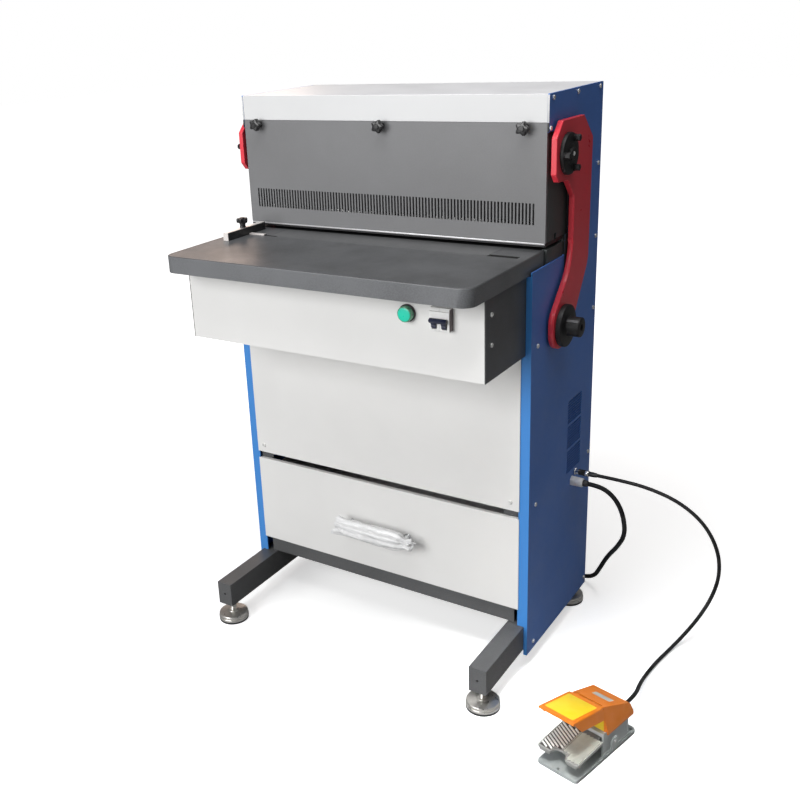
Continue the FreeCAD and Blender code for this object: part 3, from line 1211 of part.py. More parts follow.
def pedal_base():
    half = PEDAL_BASE_HALF
    plate = plate_z([(-half, PEDAL_FRONT, 6), (half, PEDAL_FRONT, 6), (half, PEDAL_REAR, 8),
                     (-half, PEDAL_REAR, 8)], 0, PEDAL_BASE_THICK)
    walls = box(-HOUSING_HALF, HOUSING_HALF, HOUSING_FRONT, HOUSING_REAR, PEDAL_BASE_THICK, HOUSING_TOP)
    upright = [edge for edge in walls.Edges if edge.BoundBox.ZLength > HOUSING_TOP - PEDAL_BASE_THICK - 1
               and edge.BoundBox.YMin > HOUSING_REAR - 1]
    walls = walls.makeFillet(8.0, upright)
    inner_half = HOUSING_HALF - HOUSING_WALL
    cavity = box(-inner_half, inner_half, HOUSING_FRONT + HOUSING_WALL, HOUSING_REAR - HOUSING_WALL,
                 PEDAL_BASE_THICK, HOUSING_TOP - HOUSING_WALL)
    mouth = box(-inner_half, inner_half, HOUSING_FRONT - 1, HOUSING_FRONT + HOUSING_WALL + 1,
                PEDAL_BASE_THICK, MOUTH_TOP)
    rim = box(-half + 1, half - 1, HOUSING_FRONT - 10, PEDAL_REAR - 16, PEDAL_BASE_THICK, PEDAL_BASE_THICK + 4)
    rim = rim.cut(box(-HOUSING_HALF + 1, HOUSING_HALF - 1, 0, HOUSING_REAR - 1, 0, 20))
    lug = plate_x([(PIVOT_V - 9, PEDAL_BASE_THICK, 0), (PIVOT_V - 9, PIVOT_Z + 8, 7),
                   (PIVOT_V + 9, PIVOT_Z + 8, 7), (PIVOT_V + 9, PEDAL_BASE_THICK, 0)],
                  HOUSING_HALF - 1, PEDAL_BASE_HALF + 1.5)
    tools = [rod_x(PIVOT_RADIUS + FIT, -60, 60, PIVOT_V, PIVOT_Z),
             rod_y(6.0 + FIT, HOUSING_REAR - 6, HOUSING_REAR + 1, PEDAL_GLAND_U, PEDAL_GLAND_Z)]
    for u, v in PEDAL_SCREWS:
        tools.append(rod_z(PEDAL_SCREW_RADIUS, -1, 30, u, v))
    shell = without(walls, [cavity, mouth])
    return on_floor(without(joined([plate, shell, rim] + both_sides(lug)), tools))


def tread_line(v):
    return TREAD_FRONT_Z + TREAD_SLOPE * (v - TREAD_FRONT)


def pedal_plate():
    front = TREAD_FRONT
    neck = HOUSING_FRONT - 3.0
    side = [(front, tread_line(front)), (TREAD_TAIL, tread_line(TREAD_TAIL)),
            (TREAD_TAIL, tread_line(TREAD_TAIL) - TREAD_THICK), (front + 5, tread_line(front + 5) - TREAD_THICK),
            (front + 5, tread_line(front) - 9), (front, tread_line(front) - 9)]
    slab = plate_x([(v, z, 0) for v, z in side], -TREAD_HALF, TREAD_HALF)
    plan = plate_z([(-TREAD_HALF, front - 1, 5), (TREAD_HALF, front - 1, 5), (TREAD_HALF, neck, 3),
                    (TREAD_TAIL_HALF, neck, 3), (TREAD_TAIL_HALF, TREAD_TAIL + 1, 0),
                    (-TREAD_TAIL_HALF, TREAD_TAIL + 1, 0), (-TREAD_TAIL_HALF, neck, 3), (-TREAD_HALF, neck, 3)],
                   0, 80)
    notch = plate_z([(-13, front - 10, 0), (13, front - 10, 0), (13, front + 20, 11), (-13, front + 20, 11)], 0, 80)
    slab = slab.common(plan).cut(notch)
    ribs = []
    lean = math.radians(RIB_ANGLE)
    for index in range(int((HOUSING_FRONT - TREAD_FRONT + 12) / RIB_PITCH)):
        v = TREAD_FRONT + 2 + index * RIB_PITCH
        rib = box(0, TREAD_HALF / math.cos(lean) + 2, -RIB_WIDTH / 2, RIB_WIDTH / 2, -1.0, RIB_HEIGHT)
        rib.rotate(V(0, 0, 0), UP, RIB_ANGLE)
        rib.rotate(V(0, 0, 0), ALONG_X, math.degrees(math.atan(TREAD_SLOPE)))
        rib.translate(V(0, v, tread_line(v)))
        ribs += both_sides(rib)
    rib_area = plate_z([(-TREAD_HALF + 1.5, front + 2, 4), (TREAD_HALF - 1.5, front + 2, 4),
                        (TREAD_HALF - 1.5, neck - 3, 3), (-TREAD_HALF + 1.5, neck - 3, 3)], 0, 80)
    pattern = joined(ribs).common(rib_area).cut(notch)
    cheek = plate_x([(PIVOT_V - 20, tread_line(PIVOT_V - 20) - 1, 0), (PIVOT_V + 8, tread_line(PIVOT_V + 8) - 1, 0),
                     (PIVOT_V + 8, PIVOT_Z - 7, 6), (PIVOT_V - 7, PIVOT_Z - 7, 6)],
                    TREAD_TAIL_HALF - 4, TREAD_TAIL_HALF)
    bore = rod_x(PIVOT_RADIUS + FIT, -60, 60, PIVOT_V, PIVOT_Z)
    return on_floor(joined([slab, pattern] + both_sides(cheek)).cut(bore))


def pedal_pins():
    pivot = rod_x(PIVOT_RADIUS, -PEDAL_BASE_HALF - 2.5, PEDAL_BASE_HALF + 2.5, PIVOT_V, PIVOT_Z)
    flap_pin = rod_x(FLAP_PIN_RADIUS, -29, 29, FLAP_PIVOT_V, FLAP_PIVOT_Z)
    return on_floor(group([pivot, flap_pin]))


def pedal_spring():
    spring = rod_x(6.5, -10, 10, PIVOT_V, PIVOT_Z).cut(rod_x(PIVOT_RADIUS + SEAT_GAP, -11, 11, PIVOT_V, PIVOT_Z))
    return on_floor(spring)


def pedal_switch():
    body = box(-14, 14, 116, 141, PEDAL_BASE_THICK, 44)
    plunger = rod_z(3.0, 43.5, 46.5, 0, 122)
    return on_floor(joined([body, plunger]))


def guard_solid(inset, low, front):
    """What both of the guard's outlines hold: its front view and its side view, drawn in by the inset."""
    foot = GUARD_FOOT_HALF - inset
    top = GUARD_TOP_HALF - inset
    bend = GUARD_FOOT_Z + 4.0
    crest = GUARD_TOP_Z - inset
    fall = (GUARD_TOP_Z - GUARD_CREST_Z) / (GUARD_CREST_V - GUARD_FRONT_V)
    front_view = plate_y([(-foot, low, 0), (-foot, bend, 0), (-top, crest, 4), (top, crest, 4), (foot, bend, 0),
                          (foot, low, 0)], front - 1, GUARD_REAR_V + 1)
    side_view = plate_x([(front + 6, low, 0), (front, crest, 0), (GUARD_FRONT_V + 1, crest - fall, 0),
                         (GUARD_CREST_V - inset, crest - fall * (GUARD_CREST_V - GUARD_FRONT_V), 6),
                         (GUARD_REAR_V - inset, bend + 4, 3), (GUARD_REAR_V - inset, low, 0)], -60, 60)
    return front_view.common(side_view)


def pedal_guard():
    """A shell with flared sides over the housing, with lugs for the flap's pin and a wall behind the tread."""
    shell = guard_solid(0.0, GUARD_FOOT_Z, GUARD_FRONT_V)
    room = guard_solid(GUARD_WALL, GUARD_FOOT_Z - 10, GUARD_FRONT_V - 15)
    inner_wall = room.common(box(-50, 50, GUARD_FRONT_V + 3, GUARD_FRONT_V + 5, HOUSING_TOP + SEAT_GAP, GUARD_TOP_Z - 20))
    rear_seat = room.common(box(-20, 20, HOUSING_REAR - 8, GUARD_REAR_V, HOUSING_TOP + SEAT_GAP, HOUSING_TOP + 3))
    mouth = box(-24.8, 24.8, GUARD_FRONT_V - 15, FLAP_PIVOT_V + 6, FLAP_PIVOT_Z - 6, GUARD_TOP_Z + 10)
    lugs = room.common(group(both_sides(box(24.8, 30, GUARD_FRONT_V + 1, FLAP_PIVOT_V + 8,
                                            FLAP_PIVOT_Z - 5, GUARD_TOP_Z))))
    pin_hole = rod_x(FLAP_PIN_RADIUS + FIT, -60, 60, FLAP_PIVOT_V, FLAP_PIVOT_Z)
    cable_room = rod_y(9.0, HOUSING_REAR - 9, GUARD_REAR_V + 5, PEDAL_GLAND_U, PEDAL_GLAND_Z)
    walls = shell.cut(room)
    solid = joined([walls, inner_wall, rear_seat] + lugs.Solids)
    return on_floor(without(solid, [mouth, pin_hole, cable_room]))


def pedal_flap():
    """A cover open below, with flared sides cut away at the front, hinged at its back."""
    long = FLAP_LENGTH
    deep = FLAP_DEPTH
    outer = plate_y([(-FLAP_TOP_HALF, 0, 3), (-FLAP_FOOT_HALF, -deep, 0), (FLAP_FOOT_HALF, -deep, 0),
                     (FLAP_TOP_HALF, 0, 3)], -long, 8)
    top_half = FLAP_TOP_HALF - FLAP_WALL
    foot_half = FLAP_FOOT_HALF - FLAP_WALL + 0.4
    inner = plate_y([(-top_half, -FLAP_WALL, 1), (-foot_half, -deep - 2, 0), (foot_half, -deep - 2, 0),
                     (top_half, -FLAP_WALL, 1)], -long + FLAP_WALL, 9)
    front_cut = plate_x([(-long - 1, -5, 0), (-long + 4, -5, 0), (-long + 25, -deep - 1, 0), (-long - 1, -deep - 1, 0)], -60, 60)
    cover = without(outer, [inner, front_cut])
    cover.rotate(V(0, 0, 0), ALONG_X, FLAP_TILT)
    cover.translate(V(0, FLAP_REAR_V, FLAP_REAR_Z))
    cover = cover.cut(box(-60, 60, FLAP_REAR_V + 1, FLAP_REAR_V + 30, 60, 130))
    knuckle = rod_x(4.0, -24, 24, FLAP_PIVOT_V, FLAP_PIVOT_Z)
    web = plate_x([(60, 102.5, 0), (66, 101.2, 0), (FLAP_PIVOT_V + 2.5, FLAP_PIVOT_Z + 2.5, 0),
                   (FLAP_PIVOT_V - 2.5, FLAP_PIVOT_Z - 2.5, 0), (60, 99, 0)], -24, 24)
    flap = joined([cover, web, knuckle])
    return on_floor(flap.cut(rod_x(FLAP_PIN_RADIUS + FIT, -60, 60, FLAP_PIVOT_V, FLAP_PIVOT_Z)))


def pedal_gland():
    thread = rod_y(6.0, HOUSING_REAR - 5, HOUSING_REAR + 1, PEDAL_GLAND_U, PEDAL_GLAND_Z)
    body = rod_y(8.0, HOUSING_REAR, HOUSING_REAR + 10, PEDAL_GLAND_U, PEDAL_GLAND_Z)
    sleeve = rod_y(5.5, HOUSING_REAR + 9, HOUSING_REAR + PEDAL_GLAND_LENGTH, PEDAL_GLAND_U, PEDAL_GLAND_Z)
    return on_floor(joined([thread, body, sleeve]))


# Cords

def aside(x, y, z):
    """A point beside the machine, with x counted from the right side panel's face."""
    return V(HALF + x, y, z)


PEDAL_END = HOUSING_REAR + PEDAL_GLAND_LENGTH
FOOT_CABLE_ROUTE = [
    aside(SOCKET_LENGTH, SOCKET_Y, SOCKET_Z), aside(86, 69, 324), aside(141, 71, 320), aside(199, 75, 303),
    aside(246, 80, 268), aside(273, 89, 215), aside(278, 100, 157), aside(266, 109, 100), aside(246, 106, 50),
    aside(226, 82, 17), aside(211, 36, 4.5), aside(201, -18, 4), aside(199, -75, 10), aside(207, -128, 32),
    pedal_point(PEDAL_GLAND_U, PEDAL_END + 36, PEDAL_GLAND_Z), pedal_point(PEDAL_GLAND_U, PEDAL_END, PEDAL_GLAND_Z)]
POWER_CABLE_ROUTE = [
    aside(GLAND_LENGTH, GLAND_Y, GLAND_Z), aside(54, 54, 310), aside(76, 56, 300), aside(93, 60, 278),
    aside(101, 70, 244), aside(99, 88, 200), aside(79, 110, 158), aside(51, 132, 116), aside(29, 155, 70),
    aside(8, 183, 30), aside(-28, 206, 8), aside(-78, 202, CORD_ON_FLOOR),
    aside(-126, COIL_Y - COIL_OUTER, CORD_ON_FLOOR),
    V(COIL_X + POWER_CABLE_DIAMETER, COIL_Y - COIL_OUTER, CORD_ON_FLOOR)]


def coil_place(angle):
    """The middle of the cord in the coil, from the turned angle in whole turns."""
    if angle <= COIL_TURNS:
        radius = COIL_OUTER - angle * COIL_PITCH
        rise = 0.0
    elif angle <= COIL_TURNS + 0.5:
        radius = COIL_INNER
        share = (angle - COIL_TURNS) / 0.5
        rise = COIL_PITCH * share * share * (3 - 2 * share)
    else:
        radius = COIL_INNER + (angle - COIL_TURNS - 0.5) * COIL_PITCH
        rise = COIL_PITCH
    heading = -math.pi / 2 - 2 * math.pi * angle
    return V(COIL_X + radius * math.cos(heading), COIL_Y + radius * math.sin(heading), CORD_ON_FLOOR + rise)


def coil_heading(angle):
    """The cord's direction there; its two ends run square to what they meet."""
    last = 2 * COIL_TURNS + 0.5
    if angle < 0.001:
        return V(-1, 0, 0)
    if angle > last - 0.001:
        return V(1, 0, 0)
    step = 0.002
    return (coil_place(angle + step) - coil_place(angle - step)).normalize()


def arc_pair(start, start_way, end, end_way):
    """Two arcs that leave and arrive in the given directions and meet smoothly."""
    span = end - start
    ways = start_way + end_way
    square = 2 * (1 - start_way.dot(end_way))
    along = span.dot(ways)
    reach = (-along + math.sqrt(along * along + square * span.dot(span))) / square
    meeting = (start + end + (start_way - end_way) * reach) * 0.5
    arcs = []
    for first, way, last in ((start, start_way, meeting), (meeting, None, end)):
        if way is None:
            way = (meeting - (start + start_way * reach)).normalize()
        chord = last - first
        sideways = chord - way * chord.dot(way)
        middle = (first + last) * 0.5
        half_turn = way.getAngle(chord)
        bulge = chord.Length / 2 * math.tan(half_turn / 2)
        across = (way - chord * (way.dot(chord) / chord.dot(chord))).normalize()
        if sideways.Length < 1e-6:
            arcs.append(Part.LineSegment(first, last).toShape())
        else:
            arcs.append(Part.Arc(first, middle + across * bulge, last).toShape())
    return arcs


def power_cable_coil():
    last = 2 * COIL_TURNS + 0.5
    quarters = int(round(last * 4))
    entry = coil_place(0)
    leave = coil_place(last)
    edges = [Part.LineSegment(entry + V(POWER_CABLE_DIAMETER, 0, 0), entry).toShape()]
    for quarter in range(quarters):
        here = quarter / 4
        there = (quarter + 1) / 4
        edges += arc_pair(coil_place(here), coil_heading(here), coil_place(there), coil_heading(there))
    edges.append(Part.LineSegment(leave, leave + V(POWER_CABLE_DIAMETER, 0, 0)).toShape())
    path = Part.Wire(edges)
    coil = swept_round(path, POWER_CABLE_DIAMETER / 2)
    samples = [coil_place(index / 60) for index in range(int(last * 60) + 1)]
    gap = min((first - second).Length for index, first in enumerate(samples) for second in samples[index + 30:])
    expected = math.pi * POWER_CABLE_DIAMETER ** 2 / 4 * path.Length
    print("power_cable_coil length", round(path.Length), "volume ratio", round(coil.Volume / expected, 4))
    print("power_cable_coil least gap to itself", round(gap - POWER_CABLE_DIAMETER, 2))
    return coil


def power_plug():
    leave = coil_place(2 * COIL_TURNS + 0.5) + V(POWER_CABLE_DIAMETER, 0, 0)
    y = leave.y
    z = leave.z
    x0 = leave.x
    sleeve = Part.makeCone(6.0, 8.0, 22, V(x0, y, z), ALONG_X)
    body = rod_x(PLUG_RADIUS, x0 + 21, x0 + 21 + PLUG_LENGTH, y, z)
    body = body.makeFillet(4.0, [edge for edge in body.Edges if edge.BoundBox.XMax < x0 + 21.1])
    pins = []
    for side in (-1, 1):
        pins.append(rod_x(2.4, x0 + 20 + PLUG_LENGTH, x0 + 40 + PLUG_LENGTH, y + side * 9.5, z))
    return joined([sleeve, body] + pins)


# Nodes

def build_nodes():
    nodes = {
        "leg_tubes": group(both_sides(leg_tube())),
        "cross_beams": cross_beams(),
        "leg_end_caps": leg_end_caps(),
        "left_side_panel": mirrored(side_panel()),
        "right_side_panel": right_side_panel(),
        "upper_front_panel": upper_front_panel(),
        "back_panel": back_panel(),
        "cabinet_shelves": cabinet_shelves(),
        "drawer_front": drawer_front(),
        "drawer_tray": drawer_tray(),
        "drawer_handle": drawer_handle(),
        "drawer_runners": drawer_runners(),
        "top_cover": top_cover(),
        "fascia_panel": fascia_panel(),
        "fascia_side_plates": fascia_side_plates(),
        "indicator_bezel": indicator_bezel(),
        "indicator_lens": indicator_lens(),
        "breaker_body": breaker_body(),
        "breaker_toggle": breaker_toggle(),
        "table_top": table_top(),
        "table_insert": table_insert(),
        "side_guide": side_guide(),
        "guide_knob": guide_knob(),
        "front_hood": front_hood(),
        "right_connecting_rod": connecting_rod(),
        "left_connecting_rod": mirrored(connecting_rod()),
        "rod_hubs": rod_hubs(),
        "eccentric_shaft": eccentric_shaft(),
        "shaft_end_hubs": shaft_end_hubs(),
        "shaft_bearings": shaft_bearings(),
        "head_frame": head_frame(),
        "press_beam": press_beam(),
        "punch_pins": punch_pins(),
        "die_block": die_block(),
        "flywheel": flywheel(),
        "drive_belt": drive_belt(),
        "motor_body": motor_body(),
        "motor_rotor": motor_rotor(),
        "foot_cable_socket": foot_cable_socket(),
        "cable_gland": cable_gland(),
        "panel_screws": panel_screws(),
        "pedal_base": pedal_base(),
        "pedal_plate": pedal_plate(),
        "pedal_guard": pedal_guard(),
        "pedal_flap": pedal_flap(),
        "pedal_pins": pedal_pins(),
        "pedal_spring": pedal_spring(),
        "pedal_switch": pedal_switch(),
        "pedal_gland": pedal_gland(),
        "foot_cable": cord_tube("foot_cable", FOOT_CABLE_ROUTE, FOOT_CABLE_DIAMETER),
        "power_cable": cord_tube("power_cable", POWER_CABLE_ROUTE, POWER_CABLE_DIAMETER),
        "power_cable_coil": power_cable_coil(),
        "power_plug": power_plug(),
    }
    for name, x in HOOD_KNOBS.items():
        nodes["hood_knob_" + name] = hood_knob(x)
    for depth, y in zip(("front", "rear"), foot_places()):
        for side, x in (("left", -LEG_MID), ("right", LEG_MID)):
            nodes["levelling_foot_" + depth + "_" + side] = levelling_foot(x, y)
    return nodes


def main():
    os.makedirs("parts", exist_ok=True)
    nodes = build_nodes()
    for name, shape in nodes.items():
        if not shape.isValid():
            print("not valid:", name)
        shape.exportStep("parts/" + name + ".step")
    print(len(nodes), "nodes")


main()
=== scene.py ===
import logging
import math
from dataclasses import dataclass, field
from enum import Enum
from typing import Protocol, Sequence

import bmesh
import bpy
from mathutils import Matrix, Vector, noise


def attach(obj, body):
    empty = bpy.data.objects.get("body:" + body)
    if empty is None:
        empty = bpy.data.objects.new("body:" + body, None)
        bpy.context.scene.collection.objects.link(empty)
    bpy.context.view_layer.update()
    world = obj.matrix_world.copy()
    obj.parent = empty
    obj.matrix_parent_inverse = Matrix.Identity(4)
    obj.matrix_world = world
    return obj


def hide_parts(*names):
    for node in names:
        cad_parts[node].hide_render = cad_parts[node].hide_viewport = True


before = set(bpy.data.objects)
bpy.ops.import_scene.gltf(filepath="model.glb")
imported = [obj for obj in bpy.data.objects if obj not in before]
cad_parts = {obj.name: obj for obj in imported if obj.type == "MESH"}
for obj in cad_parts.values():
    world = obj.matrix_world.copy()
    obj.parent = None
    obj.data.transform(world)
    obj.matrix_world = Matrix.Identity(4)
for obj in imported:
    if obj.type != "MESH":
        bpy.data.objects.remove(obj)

log = logging.getLogger("punch_machine")

Point = tuple[float, float, float]
Colour = tuple[float, float, float]
Socket = bpy.types.NodeSocket

MM = 0.001


class Axis(Enum):
    """A direction of the row frame that a shape can be raised or turned along."""

    X = "x"
    Y = "y"
    Z = "z"
    MINUS_X = "-x"
    MINUS_Y = "-y"

    def matrix(self) -> Matrix:
        """The turn that lays a drawing's own x, y and z along the row frame's axes."""
        columns = {
            Axis.X: ((0, 1, 0), (0, 0, 1), (1, 0, 0)),
            Axis.MINUS_X: ((0, -1, 0), (0, 0, 1), (-1, 0, 0)),
            Axis.Y: ((-1, 0, 0), (0, 0, 1), (0, 1, 0)),
            Axis.MINUS_Y: ((1, 0, 0), (0, 0, 1), (0, -1, 0)),
            Axis.Z: ((1, 0, 0), (0, 1, 0), (0, 0, 1)),
        }
        return Matrix(columns[self]).transposed().to_4x4()

    def ahead(self, at: Point, distance: float) -> Point:
        """The point that lies a distance further along this direction."""
        return tuple(Vector(at) + self.matrix().to_3x3() @ Vector((0, 0, distance)))


class Side(Enum):
    """Left or right of the machine, as a sign along X."""

    LEFT = -1
    RIGHT = 1

    def word(self) -> str:
        """The side's name in lower case."""
        return self.name.lower()

    def outward(self) -> Axis:
        """The direction away from the machine on this side."""
        return Axis.X if self is Side.RIGHT else Axis.MINUS_X

    def span(self, near: float, far: float) -> tuple[float, float]:
        """The lower and the higher X of a stretch between two distances from the middle."""
        return tuple(sorted((self.value * near, self.value * far)))


# Finishes


BLACK: Colour = (0.0, 0.0, 0.0)
WHITE: Colour = (1.0, 1.0, 1.0)
PAINT_IOR = 1.5


def mixed(first: Colour, second: Colour, share: float) -> Colour:
    """A colour part of the way from the first to the second."""
    return tuple(a + (b - a) * share for a, b in zip(first, second))


def set_inputs(node: bpy.types.Node, values: dict[str, object]) -> None:
    """Sets a node's inputs by their names, which have _ for a space."""
    for name, value in values.items():
        node.inputs[name.replace("_", " ")].default_value = value


@dataclass(frozen=True)
class Pattern:
    """A noise: how many of its features fit in a metre, its finer octaves and their strength."""

    scale: float
    detail: float = 3.0
    roughness: float = 0.5


class Shading:
    """One material's node tree, with short calls for the nodes that the finishes share."""

    def __init__(self, name: str) -> None:
        """Starts a material with an empty Principled surface.

        Args:
            name: the material's name.
        """
        self.material = bpy.data.materials.new(name)
        self.material.use_nodes = True
        self.tree = self.material.node_tree
        self.surface = self.tree.nodes["Principled BSDF"]
        self.place = self.node("TexCoord").outputs["Object"]

    def set(self, **values: object) -> None:
        """Sets the surface's inputs."""
        set_inputs(self.surface, values)

    def node(self, kind: str, **values: object) -> bpy.types.Node:
        """Adds a node.

        Args:
            kind: Blender's name of the node's type, without ShaderNode in front.
            **values: the values of its inputs.

        Returns:
            The node.
        """
        node = self.tree.nodes.new("ShaderNode" + kind)
        set_inputs(node, values)
        return node

    def link(self, value: Socket, node: bpy.types.Node, socket: str | int) -> None:
        """Links a value into one of a node's inputs."""
        self.tree.links.new(value, node.inputs[socket])

    def feed(self, value: Socket, socket: str) -> None:
        """Links a value into one of the surface's inputs."""
        self.link(value, self.surface, socket)

    def stretched(self, x: float, y: float, z: float) -> Socket:
        """Object coordinates, stretched along the axes.

        Args:
            x: the factor along X.
            y: the factor along Y.
            z: the factor along Z.

        Returns:
            The stretched vector's socket.
        """
        mapping = self.node("Mapping", Scale=(x, y, z))
        self.link(self.place, mapping, "Vector")
        return mapping.outputs["Vector"]

    def noise(self, pattern: Pattern, where: Socket | None = None) -> Socket:
        """A noise value from 0 to 1.

        Args:
            pattern: the noise's pattern.
            where: the coordinates, or None for plain object coordinates.

        Returns:
            The value's socket.
        """
        texture = self.node("TexNoise", Scale=pattern.scale, Detail=pattern.detail,
                            Roughness=pattern.roughness)
        self.link(where or self.place, texture, "Vector")
        return texture.outputs["Fac"]

    def cells(self, scale: float, smooth: bool = True) -> Socket:
        """The distance to the nearest cell centre, for leathery or pitted grain.

        Args:
            scale: how many cells fit in a metre.
            smooth: whether the cells flow into each other.

        Returns:
            The distance's socket.
        """
        cells = self.node("TexVoronoi", Scale=scale)
        cells.feature = "SMOOTH_F1" if smooth else "F1"
        self.link(self.place, cells, "Vector")
        return cells.outputs["Distance"]

    def calculated(self, operation: str, first: Socket, second: Socket | None = None) -> Socket:
        """One step of arithmetic.

        Args:
            operation: Blender's name of the step.
            first: the first value.
            second: the second value, or None where the step takes one.

        Returns:
            The result's socket.
        """
        step = self.node("Math")
        step.operation = operation
        self.link(first, step, 0)
        if second is not None:
            self.link(second, step, 1)
        return step.outputs["Value"]

    def sum(self, first: Socket, second: Socket) -> Socket:
        """Two values added."""
        return self.calculated("ADD", first, second)

    def part(self, vector: Socket, axis: str) -> Socket:
        """A vector's part along one axis.

        Args:
            vector: the vector's socket.
            axis: X, Y or Z.

        Returns:
            The part's socket.
        """
        parts = self.node("SeparateXYZ")
        self.link(vector, parts, "Vector")
        return parts.outputs[axis]

    def height(self) -> Socket:
        """The height over the floor in metres."""
        return self.part(self.place, "Z")

    def facing(self, axis: str) -> Socket:
        """How far the surface faces along an axis, either way, from 0 to 1."""
        normal = self.node("NewGeometry").outputs["Normal"]
        return self.calculated("ABSOLUTE", self.part(normal, axis))

    def spread(self, value: Socket, low: float, high: float, start: float = 0.3, end: float = 0.7) -> Socket:
        """A value spread over a new range.

        Args:
            value: the value's socket.
            low: the result at start.
            high: the result at end.
            start: the value's lower bound.
            end: the value's upper bound.

        Returns:
            The result's socket.
        """
        spread = self.node("MapRange", From_Min=start, From_Max=end, To_Min=low, To_Max=high)
        self.link(value, spread, "Value")
        return spread.outputs["Result"]

    def blend(self, amount: Socket, first: Colour | Socket, second: Colour) -> Socket:
        """Two colours mixed.

        Args:
            amount: how much of the second one shows, from 0 to 1.
            first: the first colour, or the socket that it comes from.
            second: the second colour.

        Returns:
            The mixed colour's socket.
        """
        mix = self.node("Mix")
        mix.data_type = "RGBA"
        self.link(amount, mix, "Factor")
        if isinstance(first, Socket):
            self.link(first, mix, "A")
        else:
            mix.inputs["A"].default_value = (*first, 1.0)
        mix.inputs["B"].default_value = (*second, 1.0)
        return mix.outputs["Result"]

    def tone(self, value: Socket, first: Colour, second: Colour, start: float = 0.3,
             end: float = 0.7) -> None:
        """Colours the surface from the first colour to the second as a value goes from start to end."""
        self.feed(self.blend(self.spread(value, 0.0, 1.0, start, end), first, second), "Base Color")

    def gloss(self, value: Socket, low: float, high: float, start: float = 0.3, end: float = 0.7) -> None:
        """Sets the roughness from low to high as a value goes from start to end."""
        self.feed(self.spread(value, low, high, start, end), "Roughness")

    def relief(self, height: Socket, depth: float, strength: float = 1.0) -> None:
        """Bumps the surface by a height value.

        Args:
            height: the height's socket, from 0 to 1.
            depth: the relief's depth in metres.
            strength: how much of it shows.
        """
        bump = self.node("Bump", Distance=depth, Strength=strength)
        self.link(height, bump, "Height")
        self.feed(bump.outputs["Normal"], "Normal")


class Finish(Protocol):
    """What every finish offers."""

    name: str

    def make(self) -> bpy.types.Material:
        """Builds the material."""


@dataclass(frozen=True)
class PowderCoat:
    """Stoved powder paint: a fine orange-peel relief, a drift of tone and gloss, and painted light that makes
    the faces looking along one axis paler.
    """

    name: str
    rgb: Colour
    roughness: float = 0.42
    grain: float = 900.0
    depth: float = 0.00004
    drift: float = 0.05
    painted_light_rgb: Colour | None = None
    painted_light_along: str = "Z"
    clouds: Pattern = Pattern(3.5, 4.0, 0.6)
    smears: Pattern = Pattern(14.0, 5.0, 0.65)

    def make(self) -> bpy.types.Material:
        """Builds the material."""
        shading = Shading(self.name)
        shading.set(Metallic=0.0, IOR=PAINT_IOR)
        darker = mixed(self.rgb, BLACK, self.drift)
        lighter = mixed(self.rgb, WHITE, self.drift * 0.4)
        tone = shading.blend(shading.spread(shading.noise(self.clouds), 0.0, 1.0), darker, lighter)
        # Painted light: faces that look along the chosen axis are painted in the paler colour, as if more
        # light fell on them.
        if self.painted_light_rgb is not None:
            faces = shading.spread(shading.facing(self.painted_light_along), 0.0, 1.0, 0.6, 0.95)
            tone = shading.blend(faces, tone, self.painted_light_rgb)
        shading.feed(tone, "Base Color")
        shading.gloss(shading.noise(self.smears), self.roughness - 0.06, self.roughness + 0.08)
        shading.relief(shading.noise(Pattern(self.grain, 2.0)), self.depth)
        return shading.material


@dataclass(frozen=True)
class LeatherPaint:
    """Textured dark paint with a pebbled, leathery grain, and painted light below a height if one is given:
    the faces under it are painted lighter.
    """

    name: str
    rgb: Colour
    roughness: float = 0.5
    pebble: float = 620.0
    depth: float = 0.00012
    lit_edge_under: float | None = None
    worn_and_lit_rgb: Colour = (0.5, 0.52, 0.55)
    worn_share: float = 0.1
    lit_edge_share: float = 0.23
    clouds: Pattern = Pattern(5.0, 4.0, 0.6)
    smears: Pattern = Pattern(9.0, 5.0, 0.6)

    def make(self) -> bpy.types.Material:
        """Builds the material."""
        shading = Shading(self.name)
        shading.set(Metallic=0.0, IOR=PAINT_IOR)
        pebbles = shading.cells(self.pebble)
        clouds = shading.spread(shading.noise(self.clouds), 0.0, 0.6)
        amount = shading.sum(clouds, shading.spread(pebbles, 0.0, 0.4, 0.1, 0.6))
        share = self.worn_share
        # Painted light: faces below the height, the lit front edges, are painted lighter and the faces above
        # it a little darker.
        if self.lit_edge_under is not None:
            low = self.lit_edge_under
            share = self.lit_edge_share
            amount = shading.sum(shading.spread(shading.height(), 0.45, -0.2, low - 0.001, low), amount)
        shading.feed(shading.blend(amount, self.rgb, mixed(self.rgb, self.worn_and_lit_rgb, share)), "Base Color")
        shading.gloss(shading.noise(self.smears), self.roughness - 0.05, self.roughness + 0.1)
        fine = shading.spread(shading.noise(Pattern(self.pebble * 2.2)), 0.0, 0.4)
        shading.relief(shading.sum(pebbles, fine), self.depth, 0.8)
        return shading.material


@dataclass(frozen=True)
class WorkedSteel:
    """Bare or blackened steel with grinding marks along one axis."""

    name: str
    rgb: Colour
    roughness: float = 0.3
    along: Axis = Axis.X
    metallic: float = 1.0
    depth: float = 0.00002
    across_marks: float = 1400.0
    along_marks: float = 30.0
    marks: Pattern = Pattern(1.0, 3.0, 0.6)
    stains: Pattern = Pattern(26.0, 4.0, 0.6)

    def make(self) -> bpy.types.Material:
        """Builds the material."""
        shading = Shading(self.name)
        shading.set(Metallic=self.metallic)
        axes = (Axis.X, Axis.Y, Axis.Z)
        stretch = [self.along_marks if axis is self.along else self.across_marks for axis in axes]
        marks = shading.noise(self.marks, shading.stretched(*stretch))
        stains = shading.noise(self.stains)
        shading.tone(stains, mixed(self.rgb, BLACK, 0.16), self.rgb)
        stained = shading.spread(stains, self.roughness, self.roughness + 0.08)
        shading.feed(shading.sum(shading.spread(marks, -0.07, 0.1), stained), "Roughness")
        shading.relief(marks, self.depth)
        return shading.material


